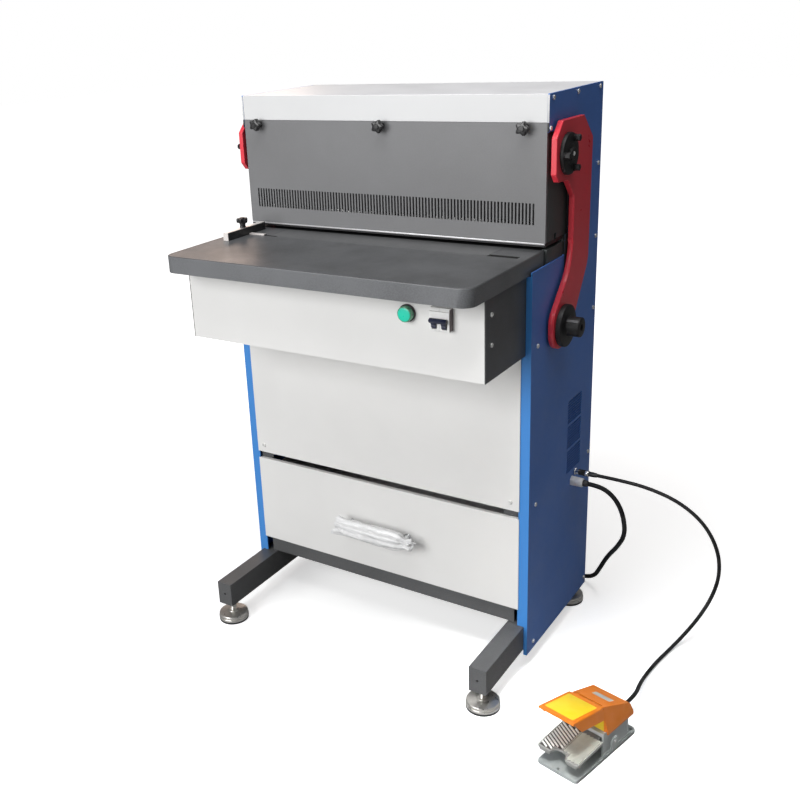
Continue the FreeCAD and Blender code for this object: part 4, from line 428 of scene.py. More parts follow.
@dataclass(frozen=True)
class MilledBar:
    """Bar with bright milled faces on its top and ends, and painted shade on the faces that look along X."""

    name: str
    rgb: Colour
    shaded_side_rgb: Colour
    roughness: float = 0.32
    metallic: float = 0.35
    depth: float = 0.00002
    marks: Pattern = Pattern(1.0, 3.0, 0.6)

    def make(self) -> bpy.types.Material:
        """Builds the material."""
        shading = Shading(self.name)
        shading.set(Metallic=self.metallic)
        # Painted shade: faces looking along X take the darker side colour.
        shading.tone(shading.facing("X"), self.rgb, self.shaded_side_rgb, 0.55, 0.8)
        marks = shading.noise(self.marks, shading.stretched(900.0, 40.0, 900.0))
        shading.gloss(marks, self.roughness - 0.08, self.roughness + 0.1)
        shading.relief(marks, self.depth)
        return shading.material


@dataclass(frozen=True)
class Chrome:
    """Bright plating with fine wiping marks."""

    name: str
    rgb: Colour = (0.78, 0.79, 0.8)
    roughness: float = 0.12
    depth: float = 0.00001

    def make(self) -> bpy.types.Material:
        """Builds the material."""
        shading = Shading(self.name)
        shading.set(Metallic=1.0)
        shading.tone(shading.noise(Pattern(60.0)), mixed(self.rgb, BLACK, 0.12), self.rgb)
        shading.gloss(shading.noise(Pattern(180.0, 4.0)), self.roughness, self.roughness + 0.16)
        shading.relief(shading.noise(Pattern(1500.0)), self.depth)
        return shading.material


@dataclass(frozen=True)
class Casting:
    """Die-cast or sand-cast metal with a pitted skin, bare or painted."""

    name: str
    rgb: Colour
    roughness: float = 0.5
    metallic: float = 0.0
    pits: float = 700.0
    depth: float = 0.0001
    stains: Pattern = Pattern(40.0, 5.0, 0.65)
    swells: Pattern = Pattern(260.0)

    def make(self) -> bpy.types.Material:
        """Builds the material."""
        shading = Shading(self.name)
        shading.set(Metallic=self.metallic)
        stains = shading.noise(self.stains)
        shading.tone(stains, mixed(self.rgb, BLACK, 0.18), mixed(self.rgb, WHITE, 0.06))
        shading.gloss(stains, self.roughness - 0.08, self.roughness + 0.12)
        swells = shading.spread(shading.noise(self.swells), 0.0, 0.6)
        shading.relief(shading.sum(shading.cells(self.pits), swells), self.depth)
        return shading.material


@dataclass(frozen=True)
class Moulded:
    """Moulded plastic or rubber: a fine spark-eroded grain and soft sheen."""

    name: str
    rgb: Colour
    roughness: float = 0.4
    grain: float = 1600.0
    depth: float = 0.00003
    ior: float = 1.5
    clouds: Pattern = Pattern(22.0, 3.0, 0.6)
    smears: Pattern = Pattern(70.0, 4.0)

    def make(self) -> bpy.types.Material:
        """Builds the material."""
        shading = Shading(self.name)
        shading.set(Metallic=0.0, IOR=self.ior)
        shading.tone(shading.noise(self.clouds), mixed(self.rgb, BLACK, 0.08), mixed(self.rgb, WHITE, 0.03))
        shading.gloss(shading.noise(self.smears), self.roughness - 0.05, self.roughness + 0.07)
        shading.relief(shading.noise(Pattern(self.grain, 2.0)), self.depth)
        return shading.material


@dataclass(frozen=True)
class LampLens:
    """Coloured translucent plastic, moulded with fine prisms inside."""

    name: str
    rgb: Colour
    prism_rgb: Colour = (0.6, 1.0, 0.75)
    prism_scale: float = 900.0

    def make(self) -> bpy.types.Material:
        """Builds the material."""
        shading = Shading(self.name)
        shading.set(Metallic=0.0, IOR=1.49, Transmission_Weight=0.25, Coat_Weight=0.8, Coat_Roughness=0.05)
        prisms = shading.cells(self.prism_scale, smooth=False)
        shading.tone(prisms, self.rgb, mixed(self.rgb, self.prism_rgb, 0.25), 0.0, 0.8)
        shading.gloss(prisms, 0.12, 0.25, 0.0, 0.8)
        shading.relief(prisms, 0.0002, 0.4)
        return shading.material


@dataclass(frozen=True)
class ClearFilm:
    """Thin crumpled polythene: mostly clear, milky in its folds."""

    name: str
    clear_rgb: Colour = (0.70, 0.705, 0.71)
    milky_rgb: Colour = (0.90, 0.90, 0.905)
    depth: float = 0.0006
    folds: Pattern = Pattern(1.0, 5.0, 0.7)

    def make(self) -> bpy.types.Material:
        """Builds the material."""
        shading = Shading(self.name)
        shading.set(Metallic=0.0, IOR=PAINT_IOR)
        folds = shading.noise(self.folds, shading.stretched(30.0, 160.0, 160.0))
        shading.tone(folds, self.clear_rgb, self.milky_rgb)
        shading.gloss(folds, 0.14, 0.32)
        shading.feed(shading.spread(folds, 0.93, 1.0, 0.35, 0.65), "Alpha")
        shading.relief(folds, self.depth)
        return shading.material


WHITE_PAINT = PowderCoat("white_powder_coat", (0.80, 0.797, 0.785), roughness=0.4)
# The cover's upward faces are painted paler: painted light on its top.
COVER_PAINT = PowderCoat("cover_white_powder_coat", (0.71, 0.715, 0.72), roughness=0.35,
                         painted_light_rgb=(0.89, 0.89, 0.91))
# The blue's faces that look along Y are painted paler: painted light on the lit front flanges.
BLUE_PAINT = PowderCoat("blue_powder_coat", (0.056, 0.185, 0.60), roughness=0.44, drift=0.1,
                        painted_light_rgb=(0.052, 0.25, 0.66), painted_light_along="Y")
RED_PAINT = PowderCoat("red_gloss_paint", (0.80, 0.025, 0.05), roughness=0.32, grain=500.0, drift=0.1)
DARK_PAINT = LeatherPaint("dark_grey_leather_paint", (0.062, 0.063, 0.066), roughness=0.36)
# The table's edges under its top face are painted lighter: painted light on the lit edges.
TABLE_PAINT = LeatherPaint("table_grey_leather_paint", (0.05, 0.051, 0.053), roughness=0.36,
                           lit_edge_under=0.7955)
HOOD_PAINT = LeatherPaint("hood_grey_leather_paint", (0.166, 0.166, 0.17), roughness=0.42, pebble=700.0)
FRAME_PAINT = LeatherPaint("frame_grey_leather_paint", (0.07, 0.071, 0.072), roughness=0.45)
INSERT_PAINT = LeatherPaint("insert_grey_leather_paint", (0.086, 0.087, 0.089), roughness=0.36)
BLACKENED = WorkedSteel("blackened_steel", (0.019, 0.019, 0.02), roughness=0.42, metallic=0.3, depth=0.00004)
# Black steel for the press beam, painted near-black so it also stands in for the shade inside the hood's
# slots: partly painted shade.
SHADED_BLACK_STEEL = WorkedSteel("black_steel_painted_shade", (0.008, 0.008, 0.009), roughness=0.6, metallic=0.2)
PLATE_STEEL = WorkedSteel("dark_plate_steel", (0.085, 0.095, 0.095), roughness=0.5, metallic=0.2,
                          depth=0.00004)
GROUND_STEEL = WorkedSteel("ground_steel", (0.55, 0.55, 0.54), roughness=0.28)
ZINC = WorkedSteel("zinc_plated_steel", (0.62, 0.63, 0.6), roughness=0.36, along=Axis.Y)
SATIN_NICKEL = Chrome("satin_nickel", (0.84, 0.82, 0.78), roughness=0.26)
CHROME = Chrome("bright_chrome")
# Both bars' faces along X are painted darker: painted shade on the guide's sides and the stripper edge's
# ends.
MILLED_ALUMINIUM = MilledBar("milled_aluminium", (0.95, 0.90, 0.87), (0.035, 0.035, 0.035))
MILLED_EDGE = MilledBar("milled_edge", (0.62, 0.62, 0.63), (0.35, 0.35, 0.35))
# Pale steel for the screws and the journals' ends; its near-white colour is partly painted highlight,
# standing in for their glints.
SCREW_HIGHLIGHT_STEEL = Casting("screw_steel_painted_highlight", (0.92, 0.92, 0.9), roughness=0.26, metallic=0.45, depth=0.00002)
CAST_IRON = Casting("cast_iron", (0.13, 0.13, 0.135), roughness=0.55, metallic=0.7)
PEDAL_CASTING = Casting("pedal_grey_casting", (0.35, 0.377, 0.37), roughness=0.42, metallic=0.05, pits=900.0)
MOTOR_PAINT = Casting("motor_grey_paint", (0.2, 0.23, 0.25), roughness=0.45)
TREAD_GROOVES = Casting("tread_grooves", (0.30, 0.305, 0.29), roughness=0.5, metallic=0.2)
# Near-black for the grooves between the tread's left ribs: painted shade.
TREAD_GROOVE_SHADE = Casting("tread_groove_shade", (0.03, 0.026, 0.024), roughness=0.55)
TREAD_STRIPES = Casting("tread_stripes", (0.93, 0.93, 0.9), roughness=0.38, depth=0.00005)
TREAD_RIBS = Casting("tread_ribs", (0.66, 0.69, 0.62), roughness=0.38, metallic=0.25, depth=0.00005)
BLACK_PLASTIC = Moulded("black_plastic", (0.011, 0.011, 0.012), roughness=0.27)
WHITE_PLASTIC = Moulded("white_plastic", (0.87, 0.87, 0.86), roughness=0.35)
# Painted shade for the breaker's side.
BREAKER_SHADE = Moulded("breaker_painted_shade", (0.17, 0.14, 0.14), roughness=0.5)
NAVY_PLASTIC = Moulded("navy_plastic", (0.01, 0.014, 0.045), roughness=0.3)
ORANGE_PLASTIC = Moulded("orange_plastic", (0.74, 0.195, 0.006), roughness=0.36, ior=1.35)
RUBBER = Moulded("black_rubber", (0.011, 0.011, 0.012), roughness=0.55)
CABLE_SHEATH = Moulded("cable_sheath", (0.005, 0.005, 0.006), roughness=0.5, grain=700.0, ior=1.25)
# Near-black for the table's slots: painted shade where their depths fall dark.
SLOT_SHADE = Moulded("slot_painted_shade", (0.003, 0.003, 0.003), roughness=0.6, ior=1.2)
LENS_FACE = Moulded("lens_face", (0.0, 0.70, 0.48), roughness=0.3)
YELLOW_PANEL = Moulded("yellow_panel", (0.80, 0.57, 0.015), roughness=0.35)
BARE_LABEL = Moulded("bare_label", (0.45, 0.46, 0.46), roughness=0.35)
GREEN_LENS = LampLens("green_lens", (0.005, 0.36, 0.16))
FILM = ClearFilm("clear_film")


@dataclass
class Palette:
    """Makes each finish's material once and hands it out."""

    made: dict[str, bpy.types.Material] = field(default_factory=dict)

    def of(self, finish: Finish) -> bpy.types.Material:
        """The material of a finish."""
        if finish.name not in self.made:
            self.made[finish.name] = finish.make()
        return self.made[finish.name]


PALETTE = Palette()


# Modelling


DOUBLES_WITHIN = 0.0005
RIM_SEGMENTS = 2
CORNER_SEGMENTS = 6
LOBE_SEGMENTS = 14
LOBE_DEPTH = 0.14


def new_mesh(name: str, shape: bmesh.types.BMesh) -> bpy.types.Mesh:
    """A mesh made from a shape.

    Args:
        name: the mesh's name.
        shape: the finished shape, which is freed.

    Returns:
        The mesh.
    """
    mesh = bpy.data.meshes.new(name)
    shape.to_mesh(mesh)
    shape.free()
    return mesh


def new_object(name: str, data: bpy.types.ID) -> bpy.types.Object:
    """An object in the scene.

    Args:
        name: the object's name.
        data: its mesh, curve, lamp or camera.

    Returns:
        The object.
    """
    item = bpy.data.objects.new(name, data)
    bpy.context.scene.collection.objects.link(item)
    return item


def round_edges(shape: bmesh.types.BMesh, edges: Sequence[bmesh.types.BMEdge], radius: float) -> None:
    """Rounds some edges of a shape."""
    bmesh.ops.bevel(shape, geom=edges, offset=radius, segments=RIM_SEGMENTS, profile=0.5, affect="EDGES",
                    material=-1)


def spin_round(shape: bmesh.types.BMesh, profile: Sequence[bmesh.types.BMVert | bmesh.types.BMEdge],
               steps: int) -> None:
    """Spins a profile once round the Z axis and closes it."""
    bmesh.ops.spin(shape, geom=profile, cent=(0, 0, 0), axis=(0, 0, 1), angle=2 * math.pi, steps=steps,
                   use_merge=True)


class Draft:
    """A mesh being modelled in millimetres, with short calls for the shapes that the pieces share."""

    def __init__(self, base: Matrix | None = None) -> None:
        """Starts an empty mesh.

        Args:
            base: the place of the drawing's own frame in the row frame, in millimetres.
        """
        self.mesh = bmesh.new()
        self.base = base or Matrix.Identity(4)

    def add(self, shape: bmesh.types.BMesh, place: Matrix) -> "Draft":
        """Adds a finished shape and frees it.

        Args:
            shape: the shape.
            place: its place in the drawing's own frame.

        Returns:
            This draft.
        """
        bmesh.ops.remove_doubles(shape, verts=shape.verts[:], dist=DOUBLES_WITHIN)
        bmesh.ops.recalc_face_normals(shape, faces=shape.faces[:])
        bmesh.ops.transform(shape, matrix=self.base @ place, verts=shape.verts[:])
        mesh = new_mesh("draft_shape", shape)
        self.mesh.from_mesh(mesh)
        bpy.data.meshes.remove(mesh)
        return self

    def turned(self, profile: Sequence[tuple[float, float]], axis: Axis, at: Point,
               steps: int = 48) -> "Draft":
        """Adds a solid of revolution.

        Args:
            profile: (radius, height) points. It starts and ends on the axis, or it is closed into a ring.
            axis: the direction of the heights.
            at: the point that the heights count from.
            steps: the number of faces round it.

        Returns:
            This draft.
        """
        shape = bmesh.new()
        points = [shape.verts.new((radius, 0.0, height)) for radius, height in profile]
        edges = [shape.edges.new(pair) for pair in zip(points, points[1:])]
        if profile[0][0] > 0:
            edges.append(shape.edges.new((points[-1], points[0])))
        spin_round(shape, points + edges, steps)
        return self.add(shape, Matrix.Translation(at) @ axis.matrix())

    def block(self, low: Point, high: Point, edge: float = 0.4) -> "Draft":
        """Adds a box with rounded edges.

        Args:
            low: its lowest corner.
            high: its highest corner.
            edge: the radius of its edges.

        Returns:
            This draft.
        """
        shape = bmesh.new()
        bmesh.ops.create_cube(shape, size=1.0)
        bmesh.ops.scale(shape, vec=[b - a for a, b in zip(low, high)], verts=shape.verts[:])
        bmesh.ops.translate(shape, vec=[(a + b) / 2 for a, b in zip(low, high)], verts=shape.verts[:])
        round_edges(shape, shape.edges[:], edge)
        return self.add(shape, Matrix.Identity(4))

    def raised(self, shape: bmesh.types.BMesh, height: float, edge: float, place: Matrix) -> "Draft":
        """Raises the flat faces of a shape into a solid and adds it.

        Args:
            shape: the flat shape.
            height: how far it is raised.
            edge: the radius of its rims.
            place: its place in the drawing's own frame.

        Returns:
            This draft.
        """
        lifted = bmesh.ops.extrude_face_region(shape, geom=shape.faces[:])
        top = [item for item in lifted["geom"] if isinstance(item, bmesh.types.BMVert)]
        bmesh.ops.translate(shape, vec=(0, 0, height), verts=top)
        if edge > 0:
            rims = [line for line in shape.edges if abs(line.verts[0].co.z - line.verts[1].co.z) < 0.001]
            round_edges(shape, rims, edge)
        return self.add(shape, place)

    def prism(self, corners: Sequence[tuple[float, float, float]], height: float, axis: Axis, at: Point,
              edge: float = 0.3) -> "Draft":
        """Adds a flat outline raised along an axis.

        Args:
            corners: the outline's (x, y, corner radius) points in the drawing's own plane.
            height: how far it is raised.
            axis: the direction in which it is raised.
            at: where the drawing's origin goes.
            edge: the radius of its rims.

        Returns:
            This draft.
        """
        shape = bmesh.new()
        points = [shape.verts.new((x, y, 0.0)) for x, y, _ in corners]
        shape.faces.new(points)
        for point, (_, _, radius) in zip(points, corners):
            if radius > 0:
                bmesh.ops.bevel(shape, geom=[point], offset=radius, segments=CORNER_SEGMENTS, profile=0.5,
                                affect="VERTICES", material=-1)
        return self.raised(shape, height, edge, Matrix.Translation(at) @ axis.matrix())

    def hexagon(self, across: float, height: float, axis: Axis, at: Point) -> "Draft":
        """Adds a hexagonal head or nut with broken edges.

        Args:
            across: its width across the flats.
            height: its height.
            axis: the direction in which it is raised.
            at: the middle of its foot.

        Returns:
            This draft.
        """
        shape = bmesh.new()
        bmesh.ops.create_circle(shape, cap_ends=True, radius=across / math.sqrt(3), segments=6)
        return self.raised(shape, height, 0.5, Matrix.Translation(at) @ axis.matrix())

    def star(self, radius: float, height: float, lobes: int, axis: Axis, at: Point) -> "Draft":
        """Adds a hand knob's head with round lobes and deep, soft hollows.

        Args:
            radius: its radius over the lobes.
            height: its height.
            lobes: the number of lobes.
            axis: the direction in which it is raised.
            at: the middle of its foot.

        Returns:
            This draft.
        """
        shape = bmesh.new()
        bmesh.ops.create_circle(shape, cap_ends=True, radius=radius, segments=lobes * LOBE_SEGMENTS)
        for vert in shape.verts:
            swell = math.cos(lobes * math.atan2(vert.co.y, vert.co.x))
            vert.co *= 1 - LOBE_DEPTH + LOBE_DEPTH * swell
        return self.raised(shape, height, height * 0.22, Matrix.Translation(at) @ axis.matrix())

    def piece(self, name: str, finish: Finish, body: str, stands_for: Sequence[str] = (),
              crease: float = 32.0) -> bpy.types.Object:
        """Turns the draft into a dressed piece that rides a body.

        Args:
            name: the piece's name.
            finish: its finish.
            body: the CAD body that it moves with.
            stands_for: the CAD nodes that it takes the place of.
            crease: the angle in degrees over which edges stay sharp.

        Returns:
            The piece's object.
        """
        bmesh.ops.scale(self.mesh, vec=(MM, MM, MM), verts=self.mesh.verts[:])
        mesh = new_mesh(name, self.mesh)
        mesh.shade_smooth()
        mesh.set_sharp_from_angle(angle=math.radians(crease))
        mesh.materials.append(PALETTE.of(finish))
        piece = new_object(name, mesh)
        if stands_for:
            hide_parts(*stands_for)
        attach(piece, body)
        log.info("%s: %d faces", name, len(mesh.polygons))
        return piece


# The photograph's view, the floor and the lamps


@dataclass(frozen=True)
class Lamp:
    """A square soft lamp: its place, its aim, its side in metres, its power in watts and its spread."""

    name: str
    place: Point
    aim: Point
    size: float
    power: float
    rgb: Colour = WHITE
    spread: float = 180.0

    def build(self) -> None:
        """Adds the lamp to the scene."""
        data = bpy.data.lights.new(self.name, "AREA")
        data.shape = "SQUARE"
        data.size = self.size
        data.energy = self.power
        data.color = self.rgb
        data.spread = math.radians(self.spread)
        lamp = new_object(self.name, data)
        lamp.location = self.place
        towards = Vector(self.place) - Vector(self.aim)
        lamp.rotation_euler = towards.to_track_quat("Z", "Y").to_euler()


LAMPS = (
    Lamp("key_lamp", (-1.0, -3.6, 1.8), (0.0, 0.0, 0.55), 2.4, 124.0),
    Lamp("top_lamp", (0.25, -0.7, 3.5), (0.0, 0.0, 0.3), 2.4, 66.0),
    Lamp("window_lamp", (-2.3, 2.1, 1.85), (0.0, 0.0, 0.8), 1.0, 8.0, rgb=(1.0, 0.78, 0.66)),
    Lamp("pedal_lamp", (0.55, -0.85, 1.5), (0.47, -0.38, 0.05), 0.4, 0.7, spread=28.0),
)


@dataclass
class Studio:
    """The camera at the photograph's place, a pale floor, four soft lamps and an even surround."""

    place: Point = (0.954332, -1.648013, 1.186174)
    pitch: float = 1.217562
    roll: float = 0.162553
    heading: float = 0.447737
    sensor: float = 36.0
    lens: float = 45.0917
    shift_x: float = 0.095
    shift_y: float = -0.025
    floor_reach: float = 14.0
    floor_lighting: Colour = (0.36, 0.36, 0.36)
    floor_seen: Colour = (0.92, 0.92, 0.92)
    near_glow: float = 0.5
    glow_from: float = 0.7
    glow_full: float = 2.0
    surround: float = 0.11

    def build(self) -> None:
        """Makes the camera, the floor, the lamps and the world."""
        self.camera()
        self.floor()
        for lamp in LAMPS:
            lamp.build()
        self.world()
        bpy.context.scene.view_settings.view_transform = "Standard"

    def camera(self) -> None:
        """Places the camera fitted to the photograph."""
        data = bpy.data.cameras.new("photo_camera")
        data.sensor_width = self.sensor
        data.lens = self.lens
        data.shift_x = self.shift_x
        data.shift_y = self.shift_y
        data.clip_start = 0.05
        data.clip_end = 60.0
        camera = new_object("photo_camera", data)
        turn = Matrix.Rotation(self.heading, 4, "Z") @ Matrix.Rotation(self.pitch, 4, "X")
        camera.matrix_world = Matrix.Translation(self.place) @ turn @ Matrix.Rotation(self.roll, 4, "Y")
        bpy.context.scene.camera = camera

    def floor(self) -> None:
        """Lays a wide floor that the camera sees as white, with the object's shadow on it."""
        shape = bmesh.new()
        bmesh.ops.create_grid(shape, x_segments=1, y_segments=1, size=self.floor_reach)
        mesh = new_mesh("studio_floor", shape)
        floor = new_object("studio_floor", mesh)
        shading = Shading("studio_floor")
        shading.set(Roughness=0.9, Specular_IOR_Level=0.1, Emission_Color=(1.0, 1.0, 1.0, 1.0))
        seen = shading.node("LightPath").outputs["Is Camera Ray"]
        shading.feed(shading.blend(seen, self.floor_lighting, self.floor_seen), "Base Color")
        reach = shading.node("VectorMath")
        reach.operation = "LENGTH"
        shading.link(shading.place, reach, 0)
        glow = shading.spread(reach.outputs["Value"], self.near_glow, 1.0, self.glow_from, self.glow_full)
        shading.feed(shading.calculated("MULTIPLY", seen, glow), "Emission Strength")
        mesh.materials.append(shading.material)

    def world(self) -> None:
        """Sets a white surround that lights the object at a lower, even level."""
        world = bpy.data.worlds.new("studio_world")
        bpy.context.scene.world = world
        world.use_nodes = True
        tree = world.node_tree
        background = tree.nodes["Background"]
        rays = tree.nodes.new("ShaderNodeLightPath")
        seen = tree.nodes.new("ShaderNodeMath")
        seen.operation = "MAXIMUM"
        tree.links.new(rays.outputs["Is Camera Ray"], seen.inputs[0])
        tree.links.new(rays.outputs["Is Transmission Ray"], seen.inputs[1])
        level = tree.nodes.new("ShaderNodeMapRange")
        set_inputs(level, {"To Min": self.surround, "To Max": 1.0})
        tree.links.new(seen.outputs["Value"], level.inputs["Value"])
        set_inputs(background, {"Color": (1.0, 1.0, 1.0, 1.0)})
        tree.links.new(level.outputs["Result"], background.inputs["Strength"])


# Cords


PEDAL_PLACE = Matrix.Translation((469.1, -368.4, 0.0)) @ Matrix.Rotation(math.radians(-13.3), 4, "Z")


@dataclass
class Cords:
    """The foot pedal's cable and the mains lead, on the routes that their CAD tubes follow."""

    side_face: float = 314 * MM
    foot_diameter: float = 7 * MM
    foot_length: float = 0.79
    mains_diameter: float = 9 * MM
    mains_length: float = 2.3
    floor_gap: float = 0.3 * MM
    coil_x: float = 130 * MM
    coil_y: float = 240 * MM
    coil_pitch: float = 11 * MM
    coil_inner: float = 38 * MM
    coil_turns: float = 2.5
    climb_turns: float = 0.5
    points_a_turn: int = 16
    plug_radius: float = 15.0
    plug_ribs: int = 5
    rib_start: float = 2.6
    rib_pitch: float = 3.6
    rib_growth: float = 0.35
    pin_foot: float = 62.0
    pin_spread: float = 9.5

    def build(self) -> None:
        self.foot_cable()
        self.mains_lead()

    def aside(self, x: float, y: float, z: float) -> Point:
        """A point beside the machine in millimetres, with x counted from the right side panel."""
        return (self.side_face + x * MM, y * MM, z * MM)

    def pedal_point(self, u: float, v: float, z: float) -> Point:
        """A point of the pedal's own frame in millimetres, in the row frame."""
        x, y, z = PEDAL_PLACE @ Vector((u, v, z))
        return (x * MM, y * MM, z * MM)

    def spline(self, name: str, points: Sequence[Point], diameter: float) -> bpy.types.Object:
        """A round cord on one smooth open spline.

        Args:
            name: the object's name.
            points: the route's points in metres.
            diameter: the cord's diameter in metres.

        Returns:
            The cord's curve object.
        """
        curve = bpy.data.curves.new(name, "CURVE")
        curve.dimensions = "3D"
        curve.bevel_depth = diameter / 2
        curve.bevel_resolution = 5
        curve.resolution_u = 10
        curve.use_fill_caps = True
        route = curve.splines.new("NURBS")
        route.points.add(len(points) - 1)
        for knot, point in zip(route.points, points):
            knot.co = (*point, 1.0)
        route.order_u = 3
        route.use_endpoint_u = True
        curve.materials.append(PALETTE.of(CABLE_SHEATH))
        return new_object(name, curve)

    def foot_cable(self) -> None:
        """The cable that leaves the socket, falls in a loop and lies to the pedal."""
        loop = [
            (46, 69, 324), (86, 69, 324), (141, 71, 320), (199, 75, 303), (246, 80, 268), (273, 89, 215),
            (278, 100, 157), (266, 109, 100), (246, 106, 50), (226, 82, 17), (211, 36, 4.5), (201, -18, 4),
            (199, -75, 10), (207, -128, 32)]
        route = [self.aside(*point) for point in loop]
        route += [self.pedal_point(11.6, 203, 40), self.pedal_point(11.6, 167, 40)]
        cable = self.spline("foot_cable_sheath", route, self.foot_diameter)
        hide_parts("foot_cable")
        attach(cable, "frame")

    def coil_outer(self) -> float:
        """The radius of the coil's first turn, where the lead comes in."""
        return self.coil_inner + self.coil_turns * self.coil_pitch

    def lying_height(self) -> float:
        """The height of the lead's middle where it lies on the floor."""
        return self.mains_diameter / 2 + self.floor_gap

    def coil_place(self, turned: float) -> Point:
        """The lead's middle in the coil, which goes inwards, up a layer and out again.

        Args:
            turned: the number of turns from where it comes in.

        Returns:
            The point in metres.
        """
        rise = 0.0
        if turned <= self.coil_turns:
            radius = self.coil_outer() - turned * self.coil_pitch
        elif turned <= self.coil_turns + self.climb_turns:
            share = (turned - self.coil_turns) / self.climb_turns
            radius = self.coil_inner
            rise = self.coil_pitch * share * share * (3 - 2 * share)
        else:
            radius = self.coil_inner + (turned - self.coil_turns - self.climb_turns) * self.coil_pitch
            rise = self.coil_pitch
        heading = -math.pi / 2 - 2 * math.pi * turned
        x, y = self.coil_x + radius * math.cos(heading), self.coil_y + radius * math.sin(heading)
        return (x, y, self.lying_height() + rise)

    def mains_lead(self) -> None:
        """The lead that leaves the gland, goes down behind the machine and is put away in a coil."""
        outer, low = self.coil_outer(), self.lying_height()
        entry_y = (self.coil_y - outer) / MM
        drop = [
            (34, 54, 310), (54, 54, 310), (76, 56, 300), (93, 60, 278), (101, 70, 244), (99, 88, 200),
            (79, 110, 158), (51, 132, 116), (29, 155, 70), (8, 183, 30), (-28, 206, 8), (-78, 202, low / MM),
            (-126, entry_y, low / MM)]
        route = [self.aside(*point) for point in drop]
        route.append((self.coil_x + self.mains_diameter, self.coil_y - outer, low))
        last = 2 * self.coil_turns + self.climb_turns
        count = int(last * self.points_a_turn)
        route += [self.coil_place(last * index / count) for index in range(count + 1)]
        end = route[-1]
        route.append((end[0] + self.mains_diameter, end[1], end[2]))
        lead = self.spline("mains_lead_sheath", route, self.mains_diameter)
        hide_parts("power_cable", "power_cable_coil")
        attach(lead, "frame")
        self.plug(end)

    def plug(self, end: Point) -> list[bpy.types.Object]:
        """The plug on the lead's end.

        Args:
            end: the middle of the coil's last turn in metres.

        Returns:
            The plug's pieces.
        """
        at = (end[0] / MM + self.mains_diameter / MM, end[1] / MM, end[2] / MM)
        radius = self.plug_radius
        outline = [(0, 0), (5.4, 0), (6.1, 0.8)]
        for rib in range(self.plug_ribs):
            step, growth = self.rib_start + rib * self.rib_pitch, rib * self.rib_growth
            outline += [(6.4 + growth, step), (5.3 + growth, step + 0.5), (5.3 + growth, step + 1.6),
                        (6.5 + growth, step + 2.1)]
        outline += [(8.6, 20.6), (radius - 3.5, 22.0), (radius - 1.0, 24.2), (radius, 28.0), (radius, 56.0),
                    (radius - 1.2, 57.0), (radius - 1.4, 62.2), (radius - 1.8, 62.8), (0, 62.8)]
        nodes = ["power_plug"]
        body = Draft().turned(outline, Axis.X, at).piece("plug_body", BLACK_PLASTIC, "frame", nodes)
        pin = [(0, 0), (2.4, 0), (2.4, 18.6), (1.9, 19.6), (0.9, 20.0), (0, 20.0)]
        pins = Draft()
        for side in Side:
            pins.turned(pin, Axis.X, (at[0] + self.pin_foot, at[1] + side.value * self.pin_spread, at[2]), 24)
        return [body, pins.piece("plug_pins", CHROME, "frame", nodes)]


# Feet and knobs


@dataclass
class LevellingFeet:
    """Four feet: a rubber pad, a bright two-step disc on a threaded stem, and a lock nut."""

    middle_x: float = 289.5
    front_y: float = -286.0
    rear_y: float = 120.0
    disc_radius: float = 31.0
    stem_radius: float = 6.0
    stem_top: float = 74.0
    thread_low: float = 21.0
    thread_high: float = 42.0
    thread_pitch: float = 1.5
    thread_depth: float = 0.7
    nut_low: float = 34.2
    nut_across: float = 19.0
    nut_height: float = 8.0

    def build(self) -> None:
        """Makes the four feet."""
        for row, y in (("front", self.front_y), ("rear", self.rear_y)):
            for side in Side:
                self.foot(f"{row}_{side.word()}", (side.value * self.middle_x, y, 0.0))

    def thread(self) -> list[tuple[float, float]]:
        """The stem's outline where its thread shows."""
        outline = []
        turns = int((self.thread_high - self.thread_low) / self.thread_pitch)
        for turn in range(turns):
            height = self.thread_low + turn * self.thread_pitch
            outline.append((self.stem_radius, height))
            outline.append((self.stem_radius - self.thread_depth, height + self.thread_pitch / 2))
        return outline

    def foot(self, name: str, at: Point) -> None:
        """Makes one foot.

        Args:
            name: its row and side.
            at: its middle on the floor.
        """
        node, body = "levelling_foot_" + name, "foot_" + name
        edge, stem, top = self.disc_radius, self.stem_radius, self.stem_top
        pad = [(0, 0), (edge - 1.2, 0), (edge - 0.3, 0.7), (edge - 0.2, 4.4), (0, 4.4)]
        Draft().turned(pad, Axis.Z, at).piece(node + "_pad", RUBBER, body, [node])
        disc = [(0, 4.2), (edge - 0.7, 4.2), (edge, 4.9), (edge, 8.6), (edge - 0.6, 9.6), (edge - 2.0, 10.1),
                (edge - 2.2, 10.7), (edge - 1.2, 11.3), (edge - 0.8, 12.4), (edge - 0.9, 14.8),
                (edge - 1.6, 15.9), (edge - 3.2, 16.4), (13.0, 17.4), (11.0, 18.2), (10.4, 19.7), (9.4, 20.3),
                (stem, 20.4)]
        end = [(stem - 0.4, self.thread_high), (stem - 0.4, top - 1), (stem - 1.2, top), (0, top)]
        bright = Draft().turned(disc + self.thread() + end, Axis.Z, at, 64)
        bright.piece(node + "_disc", SATIN_NICKEL, body, [node])
        nut = Draft().hexagon(self.nut_across, self.nut_height, Axis.Z, (at[0], at[1], self.nut_low))
        nut.piece(node + "_nut", ZINC, body, [node])


